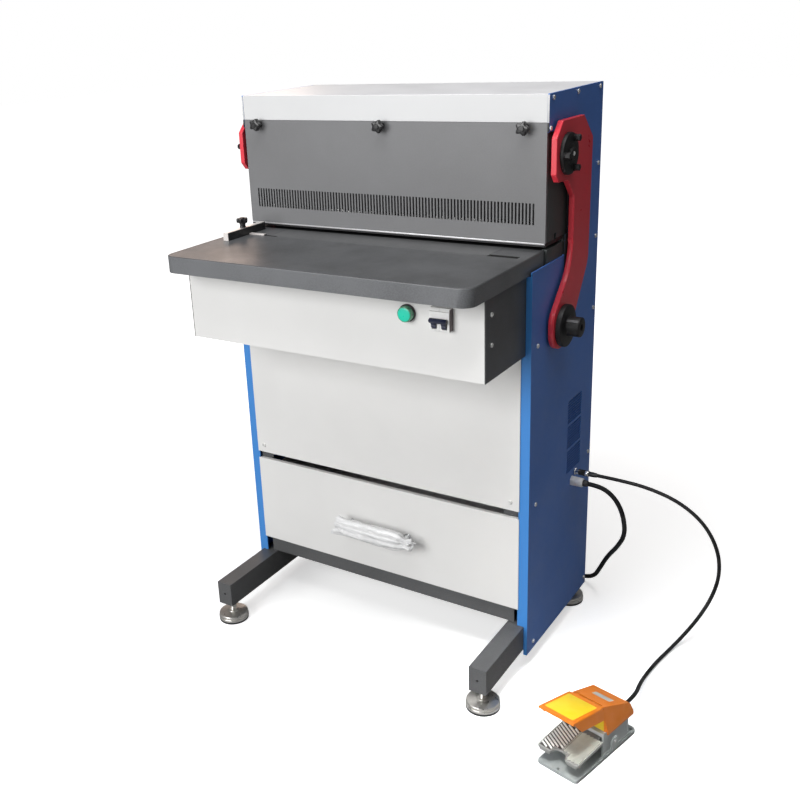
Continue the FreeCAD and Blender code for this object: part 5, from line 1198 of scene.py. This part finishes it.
@dataclass
class StarKnobs:
    """The hood's three knobs and the side guide's knob, each a lobed head on a neck and a steel stud."""

    hood_spread: float = 274.0
    hood_y: float = -92.3
    hood_z: float = 997.2
    guide_place: Point = (-275.0, -167.0, 811.6)
    lobes: int = 5
    neck: float = 9.0
    neck_share: float = 0.52

    def build(self) -> None:
        """Makes the four knobs."""
        for name, step in (("left", -1), ("centre", 0), ("right", 1)):
            place = (step * self.hood_spread, self.hood_y, self.hood_z)
            self.knob("hood_knob_" + name, 12.0, 10.0, 14.0, Axis.MINUS_Y, place)
        self.knob("guide_knob", 11.5, 9.0, 10.0, Axis.Z, self.guide_place)

    def knob(self, name: str, radius: float, thick: float, stud: float, axis: Axis, at: Point) -> None:
        """Makes one knob.

        Args:
            name: its node and its body.
            radius: its head's radius.
            thick: its head's thickness.
            stud: how far its stud reaches back from its neck's foot.
            axis: the way it points.
            at: its neck's foot.
        """
        head = Draft().star(radius, thick, self.lobes, axis, axis.ahead(at, self.neck))
        waist, neck = radius * self.neck_share, self.neck
        head.turned([(0, 0), (waist - 0.5, 0), (waist, 0.6), (waist - 0.8, 4.0), (waist + 0.6, neck + 0.5),
                     (0, neck + 0.5)], axis, at)
        top = neck + thick
        cap = [(0, top - 1), (5.4, top - 1), (5.2, top + 0.7), (4.2, top + 1.4), (0, top + 1.5)]
        head.turned(cap, axis, at).piece(name + "_head", BLACK_PLASTIC, name, [name])
        screw = [(0, -stud), (2.2, -stud), (2.9, -stud + 0.8), (2.9, 0.4), (0, 0.4)]
        Draft().turned(screw, axis, at, 24).piece(name + "_stud", GROUND_STEEL, name, [name])


# Ends of the press drive, on the outside of both rods


@dataclass
class DriveEnds:
    """The flanges with bolts round the beam's journals, and the discs and bosses on the shaft's ends."""

    rod_face: float = 328.0
    axis_y: float = -46.5
    journal_z: float = 951.0
    shaft_z: float = 656.0
    flange_radius: float = 34.5
    flange_thick: float = 6.5
    bolt_circle: float = 28.0
    bolts: int = 3
    bolt_across: float = 9.5
    bolt_head: float = 10.0
    disc_radius: float = 37.5
    disc_gap: float = 0.4
    boss_radius: float = 17.5
    key_width: float = 5.0
    key_height: float = 5.2
    key_turn: float = 45.0

    def build(self) -> None:
        """Makes both sides' ends."""
        for side in Side:
            self.rod_hub(side)
            self.shaft_end(side)

    def rod_hub(self, side: Side) -> None:
        """Makes the flange, its bolts and the dark sleeve round the journal's bright end.

        Args:
            side: the side that they are on.
        """
        axis, word = side.outward(), side.word()
        at = (side.value * self.rod_face, self.axis_y, self.journal_z)
        edge, face = self.flange_radius, self.flange_thick
        flange = [(10.4, 0), (edge, 0), (edge, face - 1.6), (edge - 0.6, face - 0.5), (edge - 1.8, face),
                  (17.6, face), (17.0, face + 0.5), (16.4, face + 0.6), (10.4, face + 0.6)]
        sleeve = [(4.6, face), (4.8, face + 5.1), (5.2, face + 5.3), (9.2, face + 5.3), (10.5, face + 4.2),
                  (10.5, face)]
        core = [(0, face), (4.5, face), (4.5, face + 3.6), (4.0, face + 4.8), (2.9, face + 5.8),
                (1.5, face + 6.4), (0, face + 6.6)]
        nodes = ["rod_hubs"]
        Draft().turned(flange, axis, at, 64).piece("rod_hub_flange_" + word, BLACKENED, "press", nodes)
        Draft().turned(sleeve, axis, at, 40).piece("journal_sleeve_" + word, BLACKENED, "press", nodes)
        Draft().turned(core, axis, at, 32).piece("journal_core_" + word, SCREW_HIGHLIGHT_STEEL, "press")
        bolts = Draft()
        for index in range(self.bolts):
            angle = 2 * math.pi * (index + 0.5) / self.bolts
            y = self.axis_y + self.bolt_circle * math.cos(angle)
            z = self.journal_z + self.bolt_circle * math.sin(angle)
            seat = (side.value * (self.rod_face + face), y, z)
            bolts.turned([(0, 0), (6.2, 0), (6.2, 1.1), (5.8, 1.4), (0, 1.4)], axis, seat, 28)
            bolts.hexagon(self.bolt_across, self.bolt_head, axis, seat)
        bolts.piece("rod_hub_bolts_" + word, BLACKENED, "press", nodes)

    def shaft_end(self, side: Side) -> None:
        """Makes the disc and the boss on a shaft end, with the key that shows on the boss.

        Args:
            side: the side that they are on.
        """
        axis, word = side.outward(), side.word()
        at = (side.value * (self.rod_face + self.disc_gap), self.axis_y, self.shaft_z)
        edge, boss = self.disc_radius, self.boss_radius
        hub = [(0, 0), (edge - 0.4, 0), (edge, 0.5), (edge, 7.4), (edge - 0.7, 8.8), (edge - 2.0, 9.4),
               (boss + 1.0, 9.4), (boss, 10.4), (boss, 31.9), (boss - 0.5, 32.9), (boss - 1.6, 33.4),
               (6.6, 33.4), (5.8, 32.6), (5.6, 29.5), (0, 28.6)]
        nodes = ["shaft_end_hubs"]
        Draft().turned(hub, axis, at, 72).piece("shaft_end_hub_" + word, BLACKENED, "shaft", nodes)
        half = self.key_width / 2
        middle = Matrix.Translation((0, self.axis_y, self.shaft_z))
        turn = middle @ Matrix.Rotation(math.radians(self.key_turn), 4, "X")
        inner, outer = side.value * (self.rod_face + 11.0), side.value * (self.rod_face + 31.8)
        corners = [(inner, -half, 1.8), (outer, -half, 1.8), (outer, half, 1.8), (inner, half, 1.8)]
        key = Draft(turn).prism(corners, self.key_height, Axis.Z, (0, 0, boss - 4.0), 0.4)
        key.piece("shaft_key_" + word, CAST_IRON, "shaft", nodes)


# Thin trims


@dataclass
class TrimPlates:
    """The stripper's bright edge, the cover's ends, the dark seals, and painted shade on the tabs, beside the
    notches and in the table slots.
    """

    side_in: float = 311.1
    side_out: float = 313.9
    head_front: float = -92.0
    proud: float = 0.6
    sunk: float = 0.2
    notch_top: float = 990.3
    band_low: float = 1005.0
    band_high: float = 1048.6
    notch_edges: tuple[tuple[float, float, float], ...] = ((-2.0, 808.2, 985.8), (-14.0, 746.0, 807.9))
    seal_width: float = 0.9
    step_front: float = -14.5
    step_back: float = -2.0
    step_z: float = 807.9
    shade_back: float = 8.0
    shade_proud: float = 0.16
    stripper_half: float = 309.6
    stripper_low: float = 805.4
    stripper_high: float = 808.1
    table_top: float = 796.0
    slot_left: float = 238.5
    slot_right: float = 288.0
    slot_front: float = -156.1
    slot_back: float = -149.1
    slot_depth: float = 9.0
    slot_wall: float = 0.5
    rim: float = 2.6
    tail_left: float = -226.3
    tail_right: float = -205.0
    tab_near: float = 263.4
    tab_far: float = 291.0
    tab_front: float = -145.4
    tab_low: float = 317.6
    tab_high: float = 330.8

    def build(self) -> None:
        """Makes the trims."""
        front, back = self.head_front - self.proud, self.head_front + self.sunk
        low = (-self.stripper_half, front, self.stripper_low)
        high = (self.stripper_half, back, self.stripper_high)
        Draft().block(low, high, 0.2).piece("stripper_edge", MILLED_EDGE, "frame")
        for side in Side:
            self.panel_edge(side, front, back)
            self.notch(side)
            self.tab(side)
        self.slot_shades()

    def tab(self, side: Side) -> None:
        """Makes a dark plate of painted shade over a side panel's tab."""
        low, high = side.span(self.tab_near, self.tab_far)
        front = self.tab_front
        face = Draft().block((low, front, self.tab_low), (high, front + 0.5, self.tab_high), 0.15)
        face.piece("tab_shade_" + side.word(), DARK_PAINT, "frame")

    def panel_edge(self, side: Side, front: float, back: float) -> None:
        """Makes the white end of the cover's band and the dark seal under it.

        Args:
            side: the side panel that they are on.
            front: their front face.
            back: their back, a little inside the panel's edge.
        """
        low, high = side.span(self.side_in, self.side_out)
        end = Draft().block((low, front, self.band_low), (high, back, self.band_high), 0.25)
        end.piece("cover_end_" + side.word(), COVER_PAINT, "frame")
        seal = Draft().block((low, front, self.notch_top), (high, back, self.band_low - 0.3), 0.25)
        seal.piece("edge_seal_" + side.word(), RUBBER, "frame")

    def notch(self, side: Side) -> None:
        """Makes the seal along the edges of a side panel's notch, and a dark plate of painted shade on the
        panel beside it.

        Args:
            side: the side panel that they are on.
        """
        low, high = side.span(self.side_in, self.side_out)
        # The dark plate on the panel beside the notch is painted shade.
        face, proud = side.span(self.side_out, self.side_out + self.shade_proud)
        seal, shade_plate = Draft(), Draft()
        for edge_y, low_z, high_z in self.notch_edges:
            seal.block((low, edge_y - self.seal_width, low_z), (high, edge_y + 0.05, high_z), 0.2)
            shade_plate.block((face, edge_y, low_z), (proud, self.shade_back, high_z), 0.05)
        seal.block((low, self.step_front, self.step_z), (high, self.step_back, self.step_z + 0.5), 0.1)
        seal.piece("notch_seal_" + side.word(), RUBBER, "frame")
        shade_plate.piece("notch_shade_" + side.word(), DARK_PAINT, "frame")

    def slot_shades(self) -> None:
        """Painted shade in the table's slots: a black rim round the right slot with black-lined walls, and a
        black tail on the left one.
        """
        left, right, front, back = self.slot_left, self.slot_right, self.slot_front, self.slot_back
        rim, top, wall = self.rim, self.table_top, self.slot_wall
        # Painted shade: black pieces that darken the slots' rims and walls.
        slot = Draft()
        long_sides = ((front - rim, front + wall, front), (back - wall, back + rim, back - wall))
        for low_y, high_y, inner in long_sides:
            slot.block((left - rim, low_y, top - 0.1), (right + rim, high_y, top + 0.18), 0.08)
            slot.block((left, inner, top - self.slot_depth), (right, inner + wall, top), 0.1)
        for low_x, high_x in ((left - rim, left + wall), (right - wall, right + rim)):
            slot.block((low_x, front, top - 0.1), (high_x, back, top + 0.18), 0.08)
        slot.piece("slot_shade_right", SLOT_SHADE, "frame")
        low, high = (self.tail_left, front, top - 0.1), (self.tail_right, back - 2.0, top + 0.15)
        Draft().block(low, high, 0.08).piece("slot_shade_tail_left", SLOT_SHADE, "frame")


# Lamp, breaker, drawer handle and cable outlets


@dataclass
class FasciaFittings:
    """The signal lamp in its ring, and the breaker's bridged levers, its pale face and the painted shade on
    its side.
    """

    face_y: float = -302.0
    lamp_x: float = 165.7
    lamp_z: float = 728.7
    breaker_x: float = 229.0
    pivot_z: float = 717.0
    pivot_y: float = -313.0
    lever_spread: float = 9.0
    lever_half: float = 4.0
    lever_length: float = 11.5
    lever_turn: float = -58.0
    bridge_half: float = 15.5
    breaker_half: float = 17.8
    breaker_nose_y: float = -314.0
    nose_low: float = 726.4
    nose_high: float = 740.3
    breaker_right: float = 247.0
    breaker_low: float = 709.0
    breaker_high: float = 745.0

    def build(self) -> None:
        """Makes the lamp, the levers and the breaker's plates."""
        self.lamp()
        self.levers()
        self.plates()

    def lamp(self) -> None:
        """The black ring, the lens's dark rim and its bright face."""
        at = (self.lamp_x, self.face_y, self.lamp_z)
        ring = [(13.4, 0), (14.5, 0), (14.9, 0.5), (14.9, 3.9), (14.5, 4.7), (13.9, 5.0), (13.4, 4.6)]
        barrel = [(0, -30), (10.9, -30), (10.9, -1.6), (13.4, -1.5), (13.4, 1.0), (0, 1.0)]
        rim = [(0, 1.0), (13.3, 1.0), (13.3, 10.6), (13.0, 11.8), (12.4, 12.5), (11.6, 12.8), (0, 12.8)]
        lens = [(0, 12.0), (11.2, 12.0), (11.2, 12.9), (10.8, 13.4), (9.6, 13.7), (5.0, 13.95), (0, 14.0)]
        for name, profile, finish, node, steps in (
                ("lamp_ring", ring, BLACK_PLASTIC, "indicator_bezel", 56),
                ("lamp_barrel", barrel, BLACK_PLASTIC, "indicator_bezel", 48),
                ("lamp_lens_rim", rim, GREEN_LENS, "indicator_lens", 56),
                ("lamp_lens_face", lens, LENS_FACE, "indicator_lens", 56)):
            Draft().turned(profile, Axis.MINUS_Y, at, steps).piece(name, finish, "frame", [node])

    def levers(self) -> None:
        """Two levers that stand up from the breaker with a bridge across them."""
        pivot = Vector((self.breaker_x, self.pivot_y, self.pivot_z))
        turn = Matrix.Translation(pivot) @ Matrix.Rotation(math.radians(self.lever_turn), 4, "X")
        levers = Draft(turn)
        half, tip = self.lever_half, self.lever_length
        boss = [(0, -half), (4.2, -half), (4.5, -3.7), (4.5, 3.7), (4.2, half), (0, half)]
        for x in (-self.lever_spread, self.lever_spread):
            levers.block((x - half, -tip, -3.0), (x + half, 0.5, 3.0), 0.8)
            levers.turned(boss, Axis.X, (x, 0, 0), 32)
        levers.block((-self.bridge_half, -tip - 3.0, -3.5), (self.bridge_half, -tip + 3.0, 3.5), 1.4)
        levers.piece("breaker_levers", NAVY_PLASTIC, "breaker_lever", ["breaker_toggle"])

    def plates(self) -> None:
        """The pale plate over the levers, and a dark plate of painted shade on the breaker's side."""
        left, right = self.breaker_x - self.breaker_half, self.breaker_x + self.breaker_half
        front = self.breaker_nose_y
        face = Draft().block((left, front - 0.5, self.nose_low), (right, front + 0.4, self.nose_high), 0.3)
        face.piece("breaker_face", WHITE_PLASTIC, "frame")
        # A dark plate on the breaker's right side: painted shade.
        side_low = (self.breaker_right - 0.1, front + 0.6, self.breaker_low)
        side_high = (self.breaker_right + 0.3, self.face_y - 0.2, self.breaker_high)
        Draft().block(side_low, side_high, 0.1).piece("breaker_side_shade", BREAKER_SHADE, "frame")


@dataclass
class HandleWrap:
    """White film round the drawer's handle: open and flared on its left, twisted on its right."""

    axis_y: float = -184.0
    axis_z: float = 224.0
    around: int = 84
    crumple_seed: int = 11
    cuts: int = 4
    flatness: float = 0.84
    pleats: int = 7
    pleat_depth: float = 1.5
    crumple: float = 1.7
    flare_from: float = 56.0
    flare_length: float = 26.0
    flare_flatter: float = 0.45
    flare_wider: float = 0.3
    lip_below: float = 15.0
    lip_above: float = 5.0
    lip_radius: float = 9.0
    on_axis: float = 0.01
    twist_from: float = 60.0
    twist_length: float = 26.0
    twist_turn: float = 0.9
    twist_points: float = 3.5
    wander: float = 2.2

    def build(self) -> None:
        """Makes the film and lets it ride on the drawer."""
        outline = [(0, -66), (5, -68), (10, -74), (13.5, -82), (15.0, -83), (15.6, -76), (16, -66), (17, -54),
                   (18, -36), (18.5, 0), (18.5, 30), (18.2, 48), (16.5, 60), (12.5, 68), (8.5, 74), (7, 78),
                   (8, 83), (10, 88), (6.5, 90), (0, 89)]
        shape = bmesh.new()
        points = [shape.verts.new((radius, 0.0, height)) for radius, height in outline]
        edges = [shape.edges.new(pair) for pair in zip(points, points[1:])]
        bmesh.ops.subdivide_edges(shape, edges=edges, cuts=self.cuts)
        spin_round(shape, shape.verts[:] + shape.edges[:], self.around)
        bmesh.ops.remove_doubles(shape, verts=shape.verts[:], dist=0.001)
        noise.seed_set(self.crumple_seed)
        for vert in shape.verts:
            self.fold(vert.co)
        wrap = Draft().add(shape, Matrix.Translation((0, self.axis_y, self.axis_z)) @ Axis.X.matrix())
        wrap.piece("handle_film", FILM, "drawer", crease=40.0)

    def fold(self, at: Vector) -> None:
        """Moves one point of the smooth roll into the film's folds.

        Args:
            at: the point, with z along the handle and y up. It is changed in place.
        """
        radius, angle, along = math.hypot(at.x, at.y), math.atan2(at.y, at.x), at.z
        flare = min(1.0, max(0.0, (-along - self.flare_from) / self.flare_length))
        twist = min(1.0, max(0.0, (along - self.twist_from) / self.twist_length))
        wander = noise.noise(Vector((0.0, 0.0, along * 0.03))) * self.wander
        ridge = abs(math.sin(self.pleats * angle / 2 + wander + twist * 2.5))
        strength = self.pleat_depth * (1.0 + 1.6 * twist + 0.8 * flare) * min(1.0, radius / 6.0)
        radius += strength * (1.0 - 2.0 * ridge * ridge)
        angle += self.twist_turn * twist
        at.x = radius * math.cos(angle) * (1.0 - self.flare_flatter * flare)
        at.y = radius * math.sin(angle) * (1.0 + self.flare_wider * flare)
        if radius > self.lip_radius:
            upper, lower = max(0.0, math.sin(angle)), max(0.0, -math.sin(angle))
            at.z -= flare * (self.lip_below * lower ** 3 - self.lip_above * upper ** 3)
        if along > self.twist_from + self.twist_length and radius > self.on_axis:
            at.z += self.twist_points * max(0.0, math.cos(3 * angle)) ** 2
        spot = Vector((at.x * 0.07, at.y * 0.07, along * 0.025))
        crease = noise.turbulence_vector(spot, 3, False, amplitude_scale=0.5, frequency_scale=2.1)
        at += Vector((crease.x, crease.y, crease.z)) * self.crumple
        at.x *= self.flatness


@dataclass
class CableOutlets:
    """The pedal cable's screwed socket and the mains lead's gland, on the right side panel."""

    face: float = 314.0
    socket_y: float = 69.0
    socket_z: float = 324.0
    collar_rings: int = 5
    ring_pitch: float = 2.0
    gland_y: float = 54.0
    gland_z: float = 310.0

    def build(self) -> None:
        """Makes both outlets."""
        self.socket((self.face, self.socket_y, self.socket_z))
        self.gland((self.face, self.gland_y, self.gland_z))

    def socket(self, at: Point) -> None:
        """Makes the bright socket with its ribbed collar and the grip on the pedal's cable.

        Args:
            at: the socket's middle on the panel.
        """
        neck = [(0, 2.5), (5.4, 2.5), (5.4, 9.0), (5.0, 9.6), (0, 9.6)]
        ring = [(0, 22.0), (5.6, 22.0), (6.0, 22.5), (6.0, 28.4), (5.5, 29.4), (0, 29.4)]
        metal = Draft().hexagon(13.0, 3.0, Axis.X, at)
        metal.turned(neck, Axis.X, at, 32).turned(ring, Axis.X, at, 32)
        metal.piece("socket_metal", CHROME, "frame", ["foot_cable_socket"])
        collar = [(0, 9.0), (5.2, 9.0), (6.0, 9.8)]
        for ring in range(self.collar_rings):
            collar += [(6.0, 11.0 + ring * self.ring_pitch), (5.5, 12.0 + ring * self.ring_pitch)]
        collar += [(6.0, 21.0), (5.4, 22.2), (0, 22.2)]
        sleeve = [(0, 29.0), (5.0, 29.0), (4.9, 38.0), (4.3, 44.0), (3.7, 46.0), (0, 46.0)]
        grip = Draft().turned(collar, Axis.X, at, 32).turned(sleeve, Axis.X, at, 32)
        grip.piece("socket_grip", BLACK_PLASTIC, "frame", ["foot_cable_socket"])

    def gland(self, at: Point) -> None:
        """Makes the pale gland and the black seal that grips the mains lead.

        Args:
            at: the gland's middle on the panel.
        """
        dome = [(0, 7.5), (8.6, 7.5), (9.0, 8.2), (9.0, 21.5), (8.4, 23.2), (7.0, 24.0), (0, 24.0)]
        seal = [(0, 23.5), (6.5, 23.5), (6.5, 28.0), (6.1, 31.0), (5.4, 33.2), (4.7, 34.0), (0, 34.0)]
        body = Draft().hexagon(18.0, 8.0, Axis.X, at).turned(dome, Axis.X, at, 40)
        body.piece("gland_body", WHITE_PLASTIC, "frame", ["cable_gland"])
        Draft().turned(seal, Axis.X, at, 32).piece("gland_seal", BLACK_PLASTIC, "frame", ["cable_gland"])


# Foot pedal


@dataclass
class FootPedal:
    """The pedal's ribbed tread, a painted shadow along its base, its housing face, and the bare panels on its
    guard and flap.
    """

    tread_half: float = 40.0
    tread_front: float = -10.0
    tread_front_z: float = 35.5
    slope: float = 0.07
    thick: float = 4.5
    shoulder: float = 63.0
    tail: float = 109.0
    tail_half: float = 30.0
    notch_half: float = 11.0
    mouth_half: float = 14.0
    notch_depth: float = 13.0
    side_margin: float = 3.4
    front_margin: float = 3.0
    back_margin: float = 2.0
    middle_margin: float = 2.0
    notch_margin_u: float = 15.5
    notch_margin_v: float = 5.0
    rib_height: float = 1.3
    rib_lean: float = 0.5
    rib_root: float = 0.4
    shortest_rib: float = 2.0
    beads: int = 19
    bead_start: float = 4.0
    bead_clear_v: float = 6.0
    bead_pitch: float = 3.6
    bead_length: float = 2.2
    bead_half: float = 0.7
    bead_inset: float = 1.6
    base_half: float = 38.5
    shadow_front: float = -9.0
    shadow_back: float = 160.0
    housing_half: float = 35.7
    housing_front: float = 66.0
    mouth_top: float = 45.4
    housing_top: float = 51.6
    flap_rear_v: float = 66.0
    flap_rear_z: float = 102.3
    flap_tilt: float = -12.5
    guard_front_v: float = 70.0
    guard_front_z: float = 100.0
    guard_tilt: float = -21.5
    inner_face_v: float = 72.9

    def build(self) -> None:
        """Makes the tread, the panels, the painted shadow along the base's edge and the housing's face."""
        self.tread()
        self.ribs()
        self.panels()
        # A thin black strip along the base's right lower edge: painted contact shadow.
        low, high = (self.base_half - 0.3, self.shadow_front, 0.0), (self.base_half + 0.5, self.shadow_back, 1.9)
        Draft(PEDAL_PLACE).block(low, high, 0.1).piece("pedal_shadow_strip", RUBBER, "frame")
        half, front = self.housing_half, self.housing_front
        low, high = (-half, front - 0.35, self.mouth_top), (half, front + 0.3, self.housing_top)
        Draft(PEDAL_PLACE).block(low, high, 0.1).piece("housing_face", BARE_LABEL, "frame")

    def tread_frame(self) -> Matrix:
        """The frame of the tread's upper face, with its origin over the pedal's own."""
        height = self.tread_front_z - self.slope * self.tread_front
        lift = Matrix.Translation((0, 0, height))
        return PEDAL_PLACE @ lift @ Matrix.Rotation(math.atan(self.slope), 4, "X")

    def tread(self) -> None:
        """The plate with its notch, its front lip and its hinge cheeks."""
        half, front, tail, rear = self.tread_half, self.tread_front, self.tail_half, self.tail
        shoulder, mouth, notch = self.shoulder, self.mouth_half, self.notch_half
        inner = front + self.notch_depth
        outline = [(-half, front, 5), (-mouth, front, 2.5), (-notch, inner, 8), (notch, inner, 8),
                   (mouth, front, 2.5), (half, front, 5), (half, shoulder, 3), (tail, shoulder, 1.5),
                   (tail, rear, 1.5), (-tail, rear, 1.5), (-tail, shoulder, 1.5), (-half, shoulder, 3)]
        tread = Draft(self.tread_frame()).prism(outline, self.thick, Axis.Z, (0, 0, -self.thick), 0.8)
        for side in Side:
            low, high = side.span(16.0, half - 4.0)
            tread.block((low, front + 0.4, -8.6), (high, front + 4.4, -2.0), 1.2)
            low, high = side.span(tail - 4.0, tail)
            tread.block((low, 80.0, -27.0), (high, 106.0, -2.0), 1.0)
        tread.piece("pedal_tread_plate", TREAD_GROOVES, "pedal_tread", ["pedal_plate"])

    def ribs(self) -> None:
        """Broad pale ribs over a dark plate of painted shade in their grooves on the left, fine ones on the
        right, and rows of beads.
        """
        half, front = self.tread_half - self.side_margin, self.tread_front + self.front_margin
        back = self.shoulder - self.back_margin
        notch_u, notch_v, middle = self.notch_margin_u, self.notch_margin_v, self.middle_margin
        corners = [(-half, front, 0), (-notch_u, front, 0), (-notch_u, notch_v, 0), (-middle, notch_v, 0),
                   (-middle, back, 0), (-half, back, 0)]
        # Painted shade: a dark plate under the left ribs darkens the grooves between them.
        groove_shade = Draft(self.tread_frame()).prism(corners, 0.2, Axis.Z, (0, 0, -0.05), 0.0)
        groove_shade.piece("pedal_tread_groove_shade", TREAD_GROOVE_SHADE, "pedal_tread", ["pedal_plate"])
        stripes = Draft(self.tread_frame())
        self.rib_field(stripes, Side.LEFT, 6.4, 3.5)
        stripes.piece("pedal_tread_stripes", TREAD_STRIPES, "pedal_tread", ["pedal_plate"])
        ribs = Draft(self.tread_frame())
        self.rib_field(ribs, Side.RIGHT, 3.2, 1.9)
        edge = self.tread_half - self.bead_inset
        for u in (0.0, edge, -edge):
            for step in range(self.beads):
                v = self.tread_front + self.bead_start + step * self.bead_pitch
                if u != 0.0 or v > self.bead_clear_v:
                    self.bead(ribs, u, v)
        ribs.piece("pedal_tread_ribs", TREAD_RIBS, "pedal_tread", ["pedal_plate"])

    def bead(self, ribs: Draft, u: float, v: float) -> None:
        """Adds one bead of the tread's edges and middle line.

        Args:
            ribs: the draft that it is added to.
            u: its middle across the pedal.
            v: its front along the pedal.
        """
        low = (u - self.bead_half, v, -self.rib_root)
        high = (u + self.bead_half, v + self.bead_length, self.rib_height)
        ribs.block(low, high, 0.3)

    def rib_field(self, ribs: Draft, side: Side, pitch: float, width: float) -> None:
        """Adds the ribs of one half, cut off at its edges and round the notch.

        Args:
            ribs: the draft that they are added to.
            side: the half.
            pitch: their spacing along the pedal.
            width: their width along the pedal.
        """
        lean, sign = self.rib_lean, side.value
        inner, outer = self.middle_margin, self.tread_half - self.side_margin
        low, high = self.tread_front + self.front_margin, self.shoulder - self.back_margin
        start = low - lean * outer
        for index in range(int((high - start) / pitch)):
            base = start + index * pitch
            near = max(inner, (low - base) / lean)
            far = min(outer, (high - width - base) / lean)
            if base + lean * near < self.notch_margin_v:
                near = max(near, min(self.notch_margin_u, (self.notch_margin_v - base) / lean))
            if far - near < self.shortest_rib:
                continue
            near_v, far_v = base + lean * near, base + lean * far
            corners = [(sign * near, near_v, 0), (sign * far, far_v, 0), (sign * far, far_v + width, 0),
                       (sign * near, near_v + width, 0)]
            ribs.prism(corners, self.rib_height + self.rib_root, Axis.Z, (0, 0, -self.rib_root), 0.3)

    def panels(self) -> None:
        """The flap's yellow panel, the guard's bare label and the yellow wall behind the tread."""
        tilt = Matrix.Rotation(math.radians(self.flap_tilt), 4, "X")
        flap = PEDAL_PLACE @ Matrix.Translation((0, self.flap_rear_v, self.flap_rear_z)) @ tilt
        corners = [(-27, -77, 2), (27, -77, 2), (27, -7, 2), (-27, -7, 2)]
        panel = Draft(flap).prism(corners, 0.35, Axis.Z, (0, 0, 0), 0.1)
        panel.piece("flap_panel", YELLOW_PANEL, "pedal_flap")
        tilt = Matrix.Rotation(math.radians(self.guard_tilt), 4, "X")
        guard = PEDAL_PLACE @ Matrix.Translation((0, self.guard_front_v, self.guard_front_z)) @ tilt
        corners = [(-14, 39, 1), (20, 39, 1), (20, 54, 1), (-14, 54, 1)]
        label = Draft(guard).prism(corners, 0.4, Axis.Z, (0, 0, 0), 0.1)
        label.piece("guard_label", BARE_LABEL, "frame")
        corners = [(-33, 53, 1), (33, 53, 1), (31, 79, 2), (-31, 79, 2)]
        wall = Draft(PEDAL_PLACE).prism(corners, 0.4, Axis.MINUS_Y, (0, self.inner_face_v, 0), 0.1)
        wall.piece("guard_inner_face", YELLOW_PANEL, "frame")


# CAD nodes that stay, with their finishes


NODES_OF_FINISHES = (
    (WHITE_PAINT, ("upper_front_panel", "drawer_front", "drawer_tray", "fascia_panel", "back_panel")),
    (COVER_PAINT, ("top_cover",)),
    (BLUE_PAINT, ("left_side_panel", "right_side_panel")),
    (TABLE_PAINT, ("table_top",)),
    (INSERT_PAINT, ("table_insert",)),
    (DARK_PAINT, ("fascia_side_plates",)),
    (FRAME_PAINT, ("leg_tubes", "cross_beams", "leg_end_caps")),
    (HOOD_PAINT, ("front_hood",)),
    (RED_PAINT, ("left_connecting_rod", "right_connecting_rod")),
    (PLATE_STEEL, ("head_frame",)),
    (SHADED_BLACK_STEEL, ("press_beam",)),
    (BLACKENED, ("die_block",)),
    (GROUND_STEEL, ("punch_pins", "eccentric_shaft", "motor_rotor", "pedal_pins", "pedal_spring")),
    (ZINC, ("cabinet_shelves", "drawer_runners")),
    (SCREW_HIGHLIGHT_STEEL, ("panel_screws",)),
    (CAST_IRON, ("shaft_bearings", "flywheel")),
    (MOTOR_PAINT, ("motor_body",)),
    (RUBBER, ("drive_belt",)),
    (MILLED_ALUMINIUM, ("side_guide",)),
    (CHROME, ("drawer_handle",)),
    (WHITE_PLASTIC, ("breaker_body",)),
    (PEDAL_CASTING, ("pedal_base",)),
    (ORANGE_PLASTIC, ("pedal_guard", "pedal_flap")),
)


@dataclass
class SheetAndPlate:
    """Gives each CAD node that stays its finish and softens its edges."""

    edge: float = 0.5 * MM
    weld: float = 0.01 * MM
    flat_within: float = 0.3
    sharp_over: float = 50.0

    def build(self) -> None:
        """Dresses the nodes."""
        chosen = {name: finish for finish, names in NODES_OF_FINISHES for name in names}
        for name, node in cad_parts.items():
            node.data.materials.clear()
            node.data.materials.append(PALETTE.of(chosen.get(name, BLACK_PLASTIC)))
            if name in chosen:
                self.soften(node)
        log.info("dressed %d CAD nodes", len(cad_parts))

    def soften(self, node: bpy.types.Object) -> None:
        """Joins a node's flat triangles, rounds its sharp edges and keeps its flats flat.

        Args:
            node: the node's object.
        """
        node.modifiers.new("weld", "WELD").merge_threshold = self.weld
        flats = node.modifiers.new("flats", "DECIMATE")
        flats.decimate_type = "DISSOLVE"
        flats.angle_limit = math.radians(self.flat_within)
        bevel = node.modifiers.new("edges", "BEVEL")
        bevel.width = self.edge
        bevel.segments = RIM_SEGMENTS
        bevel.limit_method = "ANGLE"
        bevel.angle_limit = math.radians(self.sharp_over)
        bevel.use_clamp_overlap = True
        bevel.harden_normals = True


ASSEMBLIES = (
    Studio, Cords, LevellingFeet, StarKnobs, DriveEnds, TrimPlates, FasciaFittings, HandleWrap, CableOutlets,
    FootPedal, SheetAndPlate)


def main() -> None:
    """Builds the scene in order and reports each part."""
    logging.basicConfig(level=logging.INFO, format="%(name)s: %(message)s")
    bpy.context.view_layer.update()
    for assembly in ASSEMBLIES:
        assembly().build()


if __name__ == "__main__":
    main()
